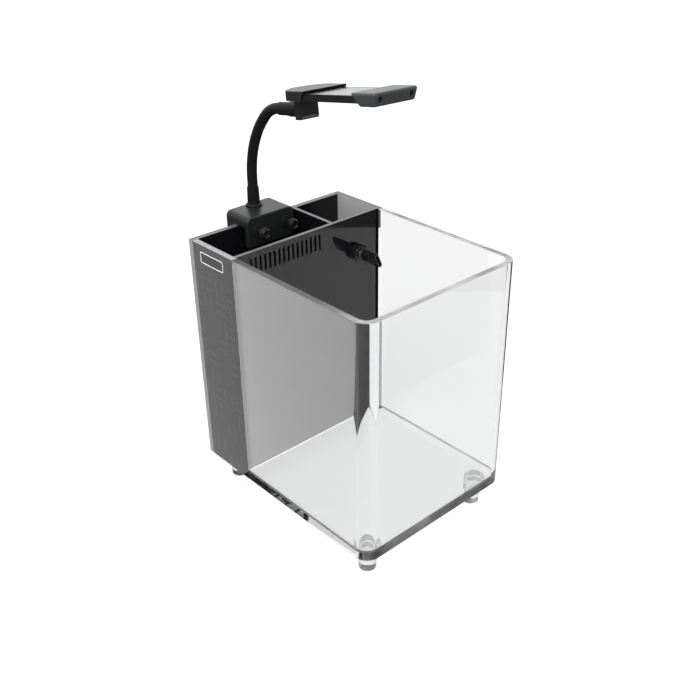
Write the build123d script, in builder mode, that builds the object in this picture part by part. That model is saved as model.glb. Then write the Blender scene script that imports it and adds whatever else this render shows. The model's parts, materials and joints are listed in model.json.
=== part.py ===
from build123d import *
import os
from math import cos, radians, sin

os.makedirs("parts", exist_ok=True)

# A clear desktop fish tank with a black filter compartment along its back and a clip-on lamp.
# Lengths are in millimetres, angles in degrees. +Z is up and the front faces -Y.
# The origin lies on the table, under the middle of everything.

# Clear tank
tank_width = 158.4
tank_depth = 205.0
tank_height = 205.0
wall = 5.0
corner_radius = 12.5
base_thickness = 7.4

# Black filter compartment: chamber_depth runs from the seam with the clear wall to the tank's back
panel = 5.0
divider_thickness = 3.2
divider_setback = 1.8
chamber_depth = 57.5
pump_chamber_width = 47.8
partition_thickness = 3.2
flow_gap = 14.0

# Comb of slots that lets surface water into the filter
slot_count = 16
slot_pitch = 4.65
slot_width = 2.2
slot_height = 13.3
slot_below_rim = 5.2
comb_from_side = 13.9

# Clear stepped feet
foot_height = 23.0
foot_collar_height = 13.0
foot_collar_radius = 8.4
foot_radius = 7.15
foot_inset = 18.0
foot_chamfer = 0.6

# Clearances
rest_gap = 0.3
running_fit = 0.05
push_fit = 0.05

# Return nozzle: a ball in a socket, with a flat fan on the ball's stub
nozzle_below_rim = 32.5
nozzle_reach = 26.8
ball_radius = 5.2
ball_sunk = 0.6
socket_wall = 2.1
socket_lip = 2.4
socket_rounding = 0.8
stub_radius = 3.1
stub_bore = 1.9
hub_gap = 0.5
hub_radius = 4.4
hub_flat = 1.0
hub_length = 6.0
mouth_width = 13.6
mouth_height = 4.0
mouth_wall = 1.0
fan_turn = 24.5

# Bulkhead, elbow and hose behind the divider
barrel_radius = 5.8
barrel_tail = 1.5
nut_thickness = 3.0
nut_radius = 9.5
elbow_bend = 7.0
elbow_tail = 10.0
spout_radius = 4.0
spout_bore = 2.8
hose_wall = 1.6
hose_overlap = 8.0
hose_setback = 18.0

# Pump
pump_width = 34.0
pump_height = 34.0
pump_rounding = 5.0
pump_wall = 2.5
cover_length = 16.0
motor_length = 19.0
cup_height = 4.0
cup_radius = 6.0
cup_neck = 3.0
cup_inset = 7.0
spigot_height = 10.0
grille_count = 4
grille_pitch = 4.4
grille_width = 2.2
grille_height = 14.0
rotor_radius = 6.4
rotor_length = 14.0
rotor_gap = 0.6
impeller_radius = 9.0
impeller_gap = 1.5
disc_thickness = 1.5
disc_gap = 1.0
blade_count = 6
blade_height = 6.0
blade_thickness = 1.2
hub_core = 2.4
shaft_radius = 1.0
shaft_seat = 1.2

# Filter media
media_clearance = 0.6
tray_leg = 20.0
tray_thickness = 3.0
tray_leg_width = 6.0
tray_hole = 8.0
media_pitch = 13.0
ring_radius = 5.5
ring_bore = 2.8
ring_height = 12.0
sponge_height = 45.0

# Lamp clamp over the rear wall
clamp_x = -10.0
clamp_width = 48.0
clamp_rise = 8.7
clamp_reach = 17.5
inner_leg = 4.0
inner_drop = 16.0
outer_leg = 10.7
outer_drop = 22.0
liner_thickness = 1.0
shoulder_radius = 5.0
top_rounding = 1.0
inlet_radius = 3.6
inlet_depth = 8.0
inlet_wall = 0.8
inlet_floor = 1.0
inlet_pin = 0.8
inlet_offset = 11.0

# Thumbscrews and their pads
screw_spacing = 29.4
screw_below_rim = 2.6
screw_radius = 2.0
boss_radius = 4.6
boss_height = 2.0
head_radius = 4.6
head_thickness = 5.5
head_standoff = 5.5
head_chamfer = 0.6
pad_radius = 2.6
pad_thickness = 2.2
tip_radius = 1.3
tip_depth = 1.4

# Gooseneck: straight up, a wide bend, a tight bend, then straight to the lamp
neck_behind_wall = 5.0
neck_radius = 4.25
neck_rise = 23.8
wide_bend = 80.0
wide_turn = 45.2
tight_bend = 28.7
neck_tail = 29.0
collar_radius = 6.9
collar_height = 2.5
collar_lip = 1.0
ferrule_length = 13.5
ferrule_foot_radius = 5.2
ferrule_top_radius = 4.9
upper_collar_length = 13.0
upper_collar_radius = 5.6
upper_ferrule_length = 13.0
upper_ferrule_radius = 5.0
spigot_radius = 3.0
spigot_length = 8.0

# Lamp head, measured from the end of the neck
head_pitch = 9.0
head_roll = 2.0
head_width = 41.6
head_length = 92.1
block_width = 17.0
block_length = 11.0
block_above = 9.4
block_below = 6.2
block_rounding = 3.0
block_chamfer = 3.0
cap_setback = 10.0
cap_length = 18.9
front_cap_length = 23.2
cap_height = 7.0
cap_bulge = 13.0
cap_slant = 5.0
front_slant = 2.5
front_inner_slant = 7.0
cap_end_slant = 1.6
cap_rounding = 2.5
cap_top_edge = 0.8
front_cap_drop = 2.2
front_top_edge = 1.6
front_low_edge = 2.0
lamp_thickness = 5.0
rail_width = 2.6
plate_thickness = 1.2
board_thickness = 1.0
board_margin = 1.5
led_size = 3.0
led_height = 0.8
led_columns = 2
led_pitch_x = 13.0
led_pitch_y = 7.0
diffuser_thickness = 1.6
cap_screw_spacing = 29.0
cap_screw_radius = 1.1
cap_screw_length = 8.0
cap_screw_head_radius = 1.9
cap_screw_head_height = 1.2
cap_screw_recess = 2.2

# Where the main faces lie
clamp_overhang = rest_gap + liner_thickness + outer_leg
y_front = -(tank_depth + clamp_overhang) / 2
y_rear = y_front + tank_depth
y_seam = y_rear - chamber_depth
y_divider = y_seam + divider_setback
y_chamber_front = y_divider + divider_thickness
y_chamber_rear = y_rear - panel
y_chamber_middle = (y_chamber_front + y_chamber_rear) / 2
x_side = tank_width / 2
x_chamber = x_side - panel
x_partition_right = x_chamber - pump_chamber_width
x_partition_left = x_partition_right - partition_thickness
z_base = foot_height
z_floor = z_base + base_thickness
z_rim = z_base + tank_height


def upright(y):
    """A plane across the tank at depth y, seen from the front, with +Z up and its normal forward."""
    return Plane.XZ.offset(-y)


def side_on(x):
    """A plane along the tank at x, with +Y across and +Z up."""
    return Plane(origin=(x, 0, 0), x_dir=(0, 1, 0), z_dir=(1, 0, 0))


def sheet(low, high):
    """A rectangular sheet of acrylic between two opposite corners."""
    with BuildPart() as piece:
        with BuildSketch(Plane.XY.offset(low[2])):
            with Locations(((low[0] + high[0]) / 2, (low[1] + high[1]) / 2)):
                Rectangle(high[0] - low[0], high[1] - low[1])
        extrude(amount=high[2] - low[2])
    return piece


def tank_plan(inset):
    """The clear tank's plan, square at the seam and round at the front, set in from the outside."""
    with BuildSketch(Plane.XY.offset(z_floor)) as plan:
        with Locations((0, (y_front + inset + y_seam) / 2)):
            Rectangle(tank_width - 2 * inset, y_seam - y_front - inset)
        fillet(plan.vertices().group_by(Axis.Y)[0], corner_radius - inset)
    return plan.sketch


# Base plate: as wide as the tank in front, then narrower between the black side panels
with BuildPart() as base_plate:
    extrude(tank_plan(0), amount=-base_thickness)
    with BuildSketch(Plane.XY.offset(z_base)):
        with Locations((0, (y_seam + y_chamber_rear) / 2)):
            Rectangle(2 * x_chamber, y_chamber_rear - y_seam)
    extrude(amount=base_thickness)

# Clear wall bent in one piece round the front and both sides
with BuildPart() as tank_shell:
    extrude(tank_plan(0), amount=tank_height - base_thickness)
    extrude(tank_plan(wall), amount=tank_height - base_thickness, mode=Mode.SUBTRACT)

# Black panels of the filter compartment
rear_panel = sheet((-x_side, y_chamber_rear, z_base), (x_side, y_rear, z_rim))
left_side_panel = sheet((-x_side, y_seam, z_base), (-x_chamber, y_chamber_rear, z_rim))
right_side_panel = sheet((x_chamber, y_seam, z_base), (x_side, y_chamber_rear, z_rim))
chamber_partition = sheet(
    (x_partition_left, y_chamber_front, z_floor + flow_gap),
    (x_partition_right, y_chamber_rear, z_rim),
)

# Divider between the fish and the filter, with the comb and the nozzle's hole
nozzle_x = (x_partition_right + x_chamber) / 2
z_nozzle = z_rim - nozzle_below_rim
comb_middle = -x_chamber + comb_from_side + (slot_count - 1) * slot_pitch / 2
comb_height = z_rim - slot_below_rim - slot_height / 2
with BuildPart() as overflow_divider:
    with BuildSketch(upright(y_divider)):
        with Locations((0, (z_floor + z_rim) / 2)):
            Rectangle(2 * x_chamber, z_rim - z_floor)
        with Locations((comb_middle, comb_height)):
            with GridLocations(slot_pitch, slot_pitch, slot_count, 1):
                Rectangle(slot_width, slot_height, mode=Mode.SUBTRACT)
        with Locations((nozzle_x, z_nozzle)):
            Circle(barrel_radius + push_fit, mode=Mode.SUBTRACT)
    extrude(amount=-divider_thickness)


def foot(x, y):
    """A clear foot turned in two steps, wider where it is bonded to the base."""
    with BuildPart() as piece:
        with BuildSketch(Plane.XY.offset(z_base)):
            with Locations((x, y)):
                Circle(foot_collar_radius)
        extrude(amount=-foot_collar_height)
        with BuildSketch(Plane.XY):
            with Locations((x, y)):
                Circle(foot_radius)
        extrude(amount=foot_height - foot_collar_height)
        chamfer(piece.edges().filter_by(GeomType.CIRCLE).sort_by(Axis.Z)[0], foot_chamfer)
    return piece


x_foot = x_side - foot_inset
foot_front_left = foot(-x_foot, y_front + foot_inset)
foot_front_right = foot(x_foot, y_front + foot_inset)
foot_rear_left = foot(-x_foot, y_rear - foot_inset)
foot_rear_right = foot(x_foot, y_rear - foot_inset)

# Bulkhead: the ball's socket in front, a barrel through the divider, an elbow down to the hose
ball_offset = ball_radius - ball_sunk
y_ball = y_divider - ball_offset
y_hose = y_chamber_front + hose_setback
nozzle_face = Plane(origin=(nozzle_x, y_divider, z_nozzle), x_dir=(1, 0, 0), z_dir=(0, -1, 0))
z_elbow_end = z_nozzle - elbow_bend - elbow_tail


def elbow_route(y_start):
    """The water's way from y_start through the divider, round the elbow and down."""
    with BuildLine(side_on(nozzle_x)) as route:
        run = Line((y_start, z_nozzle), (y_hose - elbow_bend, z_nozzle))
        turn = JernArc(run @ 1, run % 1, elbow_bend, -90)
        Line(turn @ 1, turn @ 1 + (turn % 1) * elbow_tail)
    return route.line


with BuildPart() as nozzle_bulkhead:
    with BuildSketch(nozzle_face):
        Circle(ball_radius + socket_wall)
    extrude(amount=ball_offset + socket_lip)
    fillet(nozzle_bulkhead.edges().sort_by(Axis.Y)[0], socket_rounding)
    with BuildSketch(nozzle_face):
        Circle(barrel_radius)
    extrude(amount=-(divider_thickness + nut_thickness + barrel_tail))
    with BuildSketch(nozzle_face):
        Circle(spout_radius)
    sweep(path=elbow_route(y_divider))
    with BuildSketch(nozzle_face):
        Circle(spout_bore)
    sweep(path=elbow_route(y_divider), mode=Mode.SUBTRACT)
    with Locations((nozzle_x, y_ball, z_nozzle)):
        Sphere(ball_radius + running_fit, mode=Mode.SUBTRACT)

with BuildPart() as bulkhead_nut:
    with BuildSketch(upright(y_chamber_front)):
        with Locations((nozzle_x, z_nozzle)):
            RegularPolygon(nut_radius, 6)
            Circle(barrel_radius + push_fit, mode=Mode.SUBTRACT)
    extrude(amount=-nut_thickness)

# Ball with its stub, bored through for the water
hub_start = ball_offset + ball_radius + hub_gap
with BuildPart() as nozzle_ball:
    with Locations((nozzle_x, y_ball, z_nozzle)):
        Sphere(ball_radius)
    with BuildSketch(nozzle_face.offset(ball_offset)):
        Circle(stub_radius)
    extrude(amount=hub_start + hub_length - hub_gap - ball_offset)
    with BuildSketch(nozzle_face.offset(ball_offset)):
        Circle(stub_bore)
    extrude(amount=hub_start + hub_length, both=True, mode=Mode.SUBTRACT)

# Fan: a stout hub that flattens into a wide slit
mouth_angle = 90 + fan_turn
with BuildPart() as fan_nozzle:
    with BuildSketch(nozzle_face.offset(hub_start)):
        SlotOverall(2 * hub_radius + hub_flat, 2 * hub_radius, rotation=mouth_angle)
    extrude(amount=hub_length)
    with BuildSketch(nozzle_face.offset(hub_start + hub_length)):
        SlotOverall(2 * hub_radius + hub_flat, 2 * hub_radius, rotation=mouth_angle)
    with BuildSketch(nozzle_face.offset(nozzle_reach)):
        SlotOverall(mouth_width, mouth_height, rotation=mouth_angle)
    loft()
    with BuildSketch(nozzle_face.offset(hub_start + hub_length)):
        SlotOverall(2 * stub_bore + hub_flat, 2 * stub_bore, rotation=mouth_angle)
    with BuildSketch(nozzle_face.offset(nozzle_reach)):
        SlotOverall(mouth_width - 2 * mouth_wall, mouth_height - 2 * mouth_wall, rotation=mouth_angle)
    loft(mode=Mode.SUBTRACT)
    with BuildSketch(nozzle_face.offset(hub_start)):
        Circle(stub_radius + running_fit)
    extrude(amount=hub_length, mode=Mode.SUBTRACT)

# Pump in the right-hand chamber, under the hose: cover in front, motor behind
z_pump = z_floor + cup_height
z_pump_top = z_pump + pump_height
z_pump_axis = z_pump + pump_height / 2
y_cover = y_hose - cover_length / 2
y_motor = y_hose + cover_length / 2
y_motor_rear = y_motor + motor_length
chamber_reach = cover_length - pump_wall

with BuildPart() as pump_cover:
    with BuildSketch(upright(y_cover)):
        with Locations((nozzle_x, z_pump_axis)):
            RectangleRounded(pump_width, pump_height, pump_rounding)
    extrude(amount=-cover_length)
    with BuildSketch(upright(y_motor)):
        with Locations((nozzle_x, z_pump_axis)):
            Circle(impeller_radius + impeller_gap)
    extrude(amount=chamber_reach, mode=Mode.SUBTRACT)
    with BuildSketch(upright(y_cover)):
        with Locations((nozzle_x, z_pump_axis)):
            with GridLocations(grille_pitch, grille_pitch, grille_count, 1):
                SlotOverall(grille_height, grille_width, rotation=90)
    extrude(amount=-pump_wall, mode=Mode.SUBTRACT)
    with BuildSketch(upright(y_cover + pump_wall)):
        with Locations((nozzle_x, z_pump_axis)):
            Circle(shaft_radius + push_fit)
    extrude(amount=shaft_seat, mode=Mode.SUBTRACT)
    with BuildSketch(Plane.XY.offset(z_pump_top)):
        with Locations((nozzle_x, y_hose)):
            Circle(spout_radius)
    extrude(amount=spigot_height)
    with BuildSketch(Plane.XY.offset(z_pump_top + spigot_height)):
        with Locations((nozzle_x, y_hose)):
            Circle(spout_bore)
    extrude(amount=-(spigot_height + pump_height / 2), mode=Mode.SUBTRACT)

with BuildPart() as pump_body:
    with BuildSketch(upright(y_motor)):
        with Locations((nozzle_x, z_pump_axis)):
            RectangleRounded(pump_width, pump_height, pump_rounding)
    extrude(amount=-motor_length)
    with BuildSketch(upright(y_motor)):
        with Locations((nozzle_x, z_pump_axis)):
            Circle(rotor_radius + rotor_gap)
    extrude(amount=-(rotor_length + rotor_gap), mode=Mode.SUBTRACT)
    with BuildSketch(upright(y_motor + rotor_length + rotor_gap)):
        with Locations((nozzle_x, z_pump_axis)):
            Circle(shaft_radius + push_fit)
    extrude(amount=-shaft_seat, mode=Mode.SUBTRACT)
    chamfer(pump_body.faces().sort_by(Axis.Y)[-1].edges(), pump_wall)

shaft_length = chamber_reach + rotor_length + rotor_gap + 2 * shaft_seat
with BuildPart() as impeller_shaft:
    with BuildSketch(upright(y_cover + pump_wall - shaft_seat)):
        with Locations((nozzle_x, z_pump_axis)):
            Circle(shaft_radius)
    extrude(amount=-shaft_length)

# Impeller: magnet rotor in the motor's well, with a bladed disc in the cover
with BuildPart() as impeller:
    with BuildSketch(upright(y_motor - disc_gap)):
        with Locations((nozzle_x, z_pump_axis)):
            Circle(rotor_radius)
    extrude(amount=-(rotor_length + disc_gap))
    with BuildSketch(upright(y_motor - disc_gap)):
        with Locations((nozzle_x, z_pump_axis)):
            Circle(impeller_radius)
    extrude(amount=disc_thickness)
    with BuildSketch(upright(y_motor - disc_gap - disc_thickness)):
        with Locations((nozzle_x, z_pump_axis)):
            Circle(hub_core)
            with PolarLocations((hub_core + impeller_radius) / 2 - hub_core / 4, blade_count):
                Rectangle(impeller_radius - hub_core, blade_thickness)
    extrude(amount=blade_height)
    with BuildSketch(upright(y_motor)):
        with Locations((nozzle_x, z_pump_axis)):
            Circle(shaft_radius + running_fit)
    extrude(amount=pump_width, both=True, mode=Mode.SUBTRACT)

with BuildPart() as suction_cups:
    with Locations((nozzle_x, (y_cover + y_motor_rear) / 2, z_floor)):
        with GridLocations(
            pump_width - 2 * cup_inset, y_motor_rear - y_cover - 2 * cup_inset, 2, 2
        ):
            Cone(cup_radius, cup_neck, cup_height, align=(Align.CENTER, Align.CENTER, Align.MIN))

with BuildPart() as return_hose:
    z_hose = z_pump_top + spigot_height - hose_overlap
    with BuildSketch(Plane.XY.offset(z_hose)):
        with Locations((nozzle_x, y_hose)):
            Circle(spout_radius + push_fit + hose_wall)
            Circle(spout_radius + push_fit, mode=Mode.SUBTRACT)
    extrude(amount=z_elbow_end + hose_overlap - z_hose)

# Filter media in the left-hand chamber: tray, ceramic rings, then the sponge on top
x_media = (x_partition_left - x_chamber) / 2
media_width = x_partition_left + x_chamber - 2 * media_clearance
media_depth = y_chamber_rear - y_chamber_front - 2 * media_clearance
media_columns = int(media_width // media_pitch)
media_rows = int(media_depth // media_pitch)
z_tray = z_floor + tray_leg
z_rings = z_tray + tray_thickness
z_sponge = z_rings + ring_height + rest_gap

with BuildPart() as media_tray:
    with BuildSketch(Plane.XY.offset(z_tray)):
        with Locations((x_media, y_chamber_middle)):
            Rectangle(media_width, media_depth)
            with GridLocations(media_pitch, media_pitch, media_columns, media_rows):
                Rectangle(tray_hole, tray_hole, mode=Mode.SUBTRACT)
    extrude(amount=tray_thickness)
    with BuildSketch(Plane.XY.offset(z_floor)):
        with Locations((x_media, y_chamber_middle)):
            with GridLocations(media_width - tray_leg_width, media_depth - tray_leg_width, 2, 2):
                Rectangle(tray_leg_width, tray_leg_width)
    extrude(amount=tray_leg)

with BuildPart() as ceramic_rings:
    with BuildSketch(Plane.XY.offset(z_rings)):
        with Locations((x_media, y_chamber_middle)):
            with GridLocations(media_pitch, media_pitch, media_columns, media_rows):
                Circle(ring_radius)
                Circle(ring_bore, mode=Mode.SUBTRACT)
    extrude(amount=ring_height)

filter_sponge = sheet(
    (x_media - media_width / 2, y_chamber_middle - media_depth / 2, z_sponge),
    (x_media + media_width / 2, y_chamber_middle + media_depth / 2, z_sponge + sponge_height),
)

# Lamp clamp: a saddle over the rear wall, lined where it meets the wall's outside
y_leg_front = y_rear - clamp_reach
y_leg_back = y_leg_front + inner_leg
y_liner = y_rear + rest_gap
y_outer = y_liner + liner_thickness
y_clamp_rear = y_outer + outer_leg
z_ceiling = z_rim + rest_gap
z_saddle = z_rim + clamp_rise
z_inner_end = z_rim - inner_drop
z_outer_end = z_rim - outer_drop
z_screw = z_rim - screw_below_rim
screw_left_x = clamp_x - screw_spacing / 2
screw_right_x = clamp_x + screw_spacing / 2
inlet_x = clamp_x + inlet_offset
y_inlet = y_outer + outer_leg / 2

with BuildPart() as clamp_saddle:
    with BuildSketch(side_on(clamp_x - clamp_width / 2)):
        with BuildLine():
            Polyline(
                (y_leg_front, z_inner_end),
                (y_leg_front, z_saddle),
                (y_clamp_rear, z_saddle),
                (y_clamp_rear, z_outer_end),
                (y_outer, z_outer_end),
                (y_outer, z_ceiling),
                (y_leg_back, z_ceiling),
                (y_leg_back, z_inner_end),
                close=True,
            )
        make_face()
    extrude(amount=clamp_width)
    fillet(clamp_saddle.edges().filter_by(Axis.Y).group_by(Axis.Z)[-1], shoulder_radius)
    fillet(clamp_saddle.faces().sort_by(Axis.Z)[-1].edges().filter_by(Axis.X), top_rounding)
    with BuildSketch(upright(y_leg_front)):
        with Locations((screw_left_x, z_screw), (screw_right_x, z_screw)):
            Circle(boss_radius)
    extrude(amount=boss_height)
    with BuildSketch(upright(y_leg_back)):
        with Locations((screw_left_x, z_screw), (screw_right_x, z_screw)):
            Circle(screw_radius + running_fit)
    extrude(amount=inner_leg + boss_height, mode=Mode.SUBTRACT)
    with BuildSketch(Plane.XY.offset(z_outer_end)):
        with Locations((inlet_x, y_inlet)):
            Circle(inlet_radius + push_fit)
    extrude(amount=inlet_depth, mode=Mode.SUBTRACT)

clamp_liner = sheet(
    (clamp_x - clamp_width / 2, y_liner, z_outer_end),
    (clamp_x + clamp_width / 2, y_outer, z_rim),
)

# Low-voltage inlet let into the underside of the outer leg
with BuildPart() as power_inlet:
    with BuildSketch(Plane.XY.offset(z_outer_end)):
        with Locations((inlet_x, y_inlet)):
            Circle(inlet_radius)
    extrude(amount=inlet_depth)
    with BuildSketch(Plane.XY.offset(z_outer_end)):
        with Locations((inlet_x, y_inlet)):
            Circle(inlet_radius - inlet_wall)
            Circle(inlet_pin, mode=Mode.SUBTRACT)
    extrude(amount=inlet_depth - inlet_floor, mode=Mode.SUBTRACT)

# Thumbscrews: each turns in the clamp's inner leg and pushes a loose pad against the wall
y_pad_back = y_chamber_rear - rest_gap
y_pad_front = y_pad_back - pad_thickness
y_boss = y_leg_front - boss_height
y_head = y_boss - head_standoff - head_thickness


def screw_pad(x):
    """The round pad at the screw's tip, with a blind seat for the tip."""
    with BuildPart() as piece:
        with BuildSketch(upright(y_pad_front)):
            with Locations((x, z_screw)):
                Circle(pad_radius)
        extrude(amount=-pad_thickness)
        with BuildSketch(upright(y_pad_front)):
            with Locations((x, z_screw)):
                Circle(tip_radius + running_fit)
        extrude(amount=-tip_depth, mode=Mode.SUBTRACT)
    return piece


def thumbscrew(x):
    """A round grip, a shank through the clamp's leg and a thin tip in the pad."""
    with BuildPart() as piece:
        with BuildSketch(upright(y_head)):
            with Locations((x, z_screw)):
                Circle(head_radius)
        extrude(amount=-head_thickness)
        chamfer(piece.edges().filter_by(GeomType.CIRCLE), head_chamfer)
        with BuildSketch(upright(y_head)):
            with Locations((x, z_screw)):
                Circle(screw_radius)
        extrude(amount=-(y_pad_front - running_fit - y_head))
        with BuildSketch(upright(y_head)):
            with Locations((x, z_screw)):
                Circle(tip_radius)
        extrude(amount=-(y_pad_front + tip_depth - running_fit - y_head))
    return piece


screw_pad_left = screw_pad(screw_left_x)
screw_pad_right = screw_pad(screw_right_x)
thumbscrew_left = thumbscrew(screw_left_x)
thumbscrew_right = thumbscrew(screw_right_x)

# Neck: collar and tapered ferrule on the saddle, then the bendable gooseneck in two stretches
y_neck = y_rear + neck_behind_wall
z_collar = z_saddle + collar_height
tight_turn = 90 - head_pitch - wide_turn

with BuildPart() as base_collar:
    with BuildSketch(Plane.XY.offset(z_saddle)):
        with Locations((clamp_x, y_neck)):
            Circle(collar_radius)
    extrude(amount=collar_lip)
    with Locations((clamp_x, y_neck, z_saddle + collar_lip)):
        Cone(
            collar_radius,
            ferrule_foot_radius,
            collar_height - collar_lip,
            align=(Align.CENTER, Align.CENTER, Align.MIN),
        )

with BuildPart() as lower_ferrule:
    with Locations((clamp_x, y_neck, z_collar)):
        Cone(
            ferrule_foot_radius,
            ferrule_top_radius,
            ferrule_length,
            align=(Align.CENTER, Align.CENTER, Align.MIN),
        )
    with BuildSketch(Plane.XY.offset(z_collar)):
        with Locations((clamp_x, y_neck)):
            Circle(neck_radius + push_fit)
    extrude(amount=ferrule_length, mode=Mode.SUBTRACT)

with BuildLine(side_on(clamp_x)) as lower_route:
    neck_rising = Line((y_neck, z_collar), (y_neck, z_saddle + neck_rise))
    neck_leaning = JernArc(neck_rising @ 1, neck_rising % 1, wide_bend, wide_turn / 2)

neck_in_ferrule = neck_tail - upper_collar_length - rest_gap
with BuildLine(side_on(clamp_x)) as upper_route:
    neck_arching = JernArc(neck_leaning @ 1, neck_leaning % 1, wide_bend, wide_turn / 2)
    neck_turning = JernArc(neck_arching @ 1, neck_arching % 1, tight_bend, tight_turn)
    neck_reaching = Line(
        neck_turning @ 1, neck_turning @ 1 + (neck_turning % 1) * neck_in_ferrule
    )


def neck_tube(route):
    """A round length of the gooseneck along its route."""
    with BuildPart() as piece:
        with BuildSketch(Plane(origin=route @ 0, z_dir=route % 0)):
            Circle(neck_radius)
        sweep(path=route)
    return piece


gooseneck_lower = neck_tube(lower_route.line)
gooseneck_upper = neck_tube(upper_route.line)

# The neck's end: the frame that the lamp head hangs on, forward along the neck
neck_end = neck_turning @ 1 + (neck_turning % 1) * neck_tail
neck_forward = neck_turning % 1
neck_tip = Plane(origin=neck_end, x_dir=(1, 0, 0), z_dir=neck_forward)

with BuildPart() as upper_ferrule:
    with BuildSketch(neck_tip.offset(-upper_collar_length)):
        Circle(upper_ferrule_radius)
    extrude(amount=-upper_ferrule_length)
    with BuildSketch(neck_tip.offset(-upper_collar_length)):
        Circle(neck_radius + push_fit)
    extrude(amount=-upper_ferrule_length, mode=Mode.SUBTRACT)

with BuildPart() as upper_collar:
    with BuildSketch(neck_tip.offset(-upper_collar_length)):
        Circle(upper_collar_radius)
    extrude(amount=upper_collar_length - rest_gap)
    with BuildSketch(neck_tip.offset(-spigot_length)):
        Circle(spigot_radius + push_fit)
    extrude(amount=spigot_length, mode=Mode.SUBTRACT)

with BuildPart() as neck_spigot:
    with BuildSketch(neck_tip.offset(-spigot_length)):
        Circle(spigot_radius)
    extrude(amount=2 * spigot_length)

# Lamp head, built on a plane at the neck's end: local x to the right, y to the rear, z up
pitch = radians(head_pitch)
roll = radians(head_roll)
head = Plane(
    origin=neck_end,
    x_dir=(cos(roll), -sin(pitch) * sin(roll), -cos(pitch) * sin(roll)),
    z_dir=(sin(roll), sin(pitch) * cos(roll), cos(pitch) * cos(roll)),
)


def across_head(way):
    """The head's own x, y or z axis, for picking its edges and faces."""
    return Axis(neck_end, (head.x_dir, head.y_dir, head.z_dir)[way])


half_width = head_width / 2
y_cap_rear = -cap_setback
y_cap_inner = y_cap_rear - cap_length
y_head_front = y_cap_rear - head_length
y_front_inner = y_head_front + front_cap_length

block_side = Plane(
    origin=head.from_local_coords((-block_width / 2, 0, 0)), x_dir=head.y_dir, z_dir=head.x_dir
)
with BuildPart() as swivel_block:
    with BuildSketch(block_side):
        with BuildLine():
            Polyline(
                (0, block_above),
                (-block_length, block_above),
                (-block_length, block_chamfer - block_below),
                (block_chamfer - block_length, -block_below),
                (0, -block_below),
                close=True,
            )
        make_face()
    extrude(amount=block_width)
    fillet(swivel_block.edges().filter_by(across_head(2)), block_rounding)
    with BuildSketch(neck_tip):
        Circle(spigot_radius + running_fit)
    extrude(amount=spigot_length + rest_gap, mode=Mode.SUBTRACT)


def rear_cap_plan(height, inner):
    """The rear cap's plan at a height: straight sides and a rear edge that bows back."""
    with BuildSketch(head.offset(height)) as plan:
        with BuildLine():
            ThreePointArc(
                (half_width, y_cap_rear), (0, y_cap_rear + cap_bulge), (-half_width, y_cap_rear)
            )
            Polyline(
                (-half_width, y_cap_rear),
                (-half_width, inner),
                (half_width, inner),
                (half_width, y_cap_rear),
            )
        make_face()
        fillet(plan.vertices().group_by(Axis.Y)[-1], cap_rounding)
    return plan.sketch


z_head_low = block_above
z_head_high = z_head_low + cap_height
with BuildPart() as rear_end_cap:
    loft(
        [
            rear_cap_plan(z_head_low, y_cap_inner + cap_slant),
            rear_cap_plan(z_head_high, y_cap_inner),
        ],
        ruled=True,
    )
    rear_cap_top = rear_end_cap.faces().sort_by(across_head(2))[-1]
    fillet(rear_cap_top.edges().sort_by(across_head(1))[1:], cap_top_edge)


def front_cap_plan(height, inner, front, half):
    """The front cap's plan at a height."""
    with BuildSketch(head.offset(height)) as plan:
        with Locations((0, (inner + front) / 2)):
            Rectangle(2 * half, inner - front)
        fillet(plan.vertices().group_by(Axis.Y)[0], cap_rounding)
    return plan.sketch


# Front cap: a tapered block with two recessed screws in its front face
z_front_low = z_head_low - front_cap_drop
z_cap_screw = (z_front_low + z_head_high) / 2
y_cap_screw = y_head_front + front_slant / 2
cap_screw_plane = Plane(
    origin=head.from_local_coords((0, y_cap_screw, z_cap_screw)),
    x_dir=head.x_dir,
    z_dir=head.y_dir,
)
with BuildPart() as front_cap_blank:
    loft(
        [
            front_cap_plan(
                z_front_low,
                y_front_inner - front_inner_slant,
                y_head_front + front_slant,
                half_width - cap_end_slant,
            ),
            front_cap_plan(z_head_high, y_front_inner, y_head_front, half_width),
        ],
        ruled=True,
    )
    front_cap_top = front_cap_blank.faces().sort_by(across_head(2))[-1]
    fillet(front_cap_top.edges().sort_by(across_head(1))[:-1], front_top_edge)
    front_cap_low = front_cap_blank.faces().sort_by(across_head(2))[0]
    fillet(front_cap_low.edges().sort_by(across_head(1))[:-1], front_low_edge)

with BuildPart() as front_end_cap:
    add(front_cap_blank.part)
    with BuildSketch(cap_screw_plane):
        with GridLocations(cap_screw_spacing, cap_screw_spacing, 2, 1):
            Circle(cap_screw_head_radius + push_fit)
    extrude(amount=cap_screw_recess, both=True, mode=Mode.SUBTRACT)
    with BuildSketch(cap_screw_plane):
        with GridLocations(cap_screw_spacing, cap_screw_spacing, 2, 1):
            Circle(cap_screw_radius + push_fit)
    extrude(amount=cap_screw_recess + cap_screw_length, mode=Mode.SUBTRACT)

with BuildPart() as cap_screws:
    with BuildSketch(cap_screw_plane.offset(cap_screw_recess)):
        with GridLocations(cap_screw_spacing, cap_screw_spacing, 2, 1):
            Circle(cap_screw_head_radius)
    extrude(amount=-cap_screw_head_height)
    with BuildSketch(cap_screw_plane.offset(cap_screw_recess)):
        with GridLocations(cap_screw_spacing, cap_screw_spacing, 2, 1):
            Circle(cap_screw_radius)
    extrude(amount=cap_screw_length)


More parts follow.
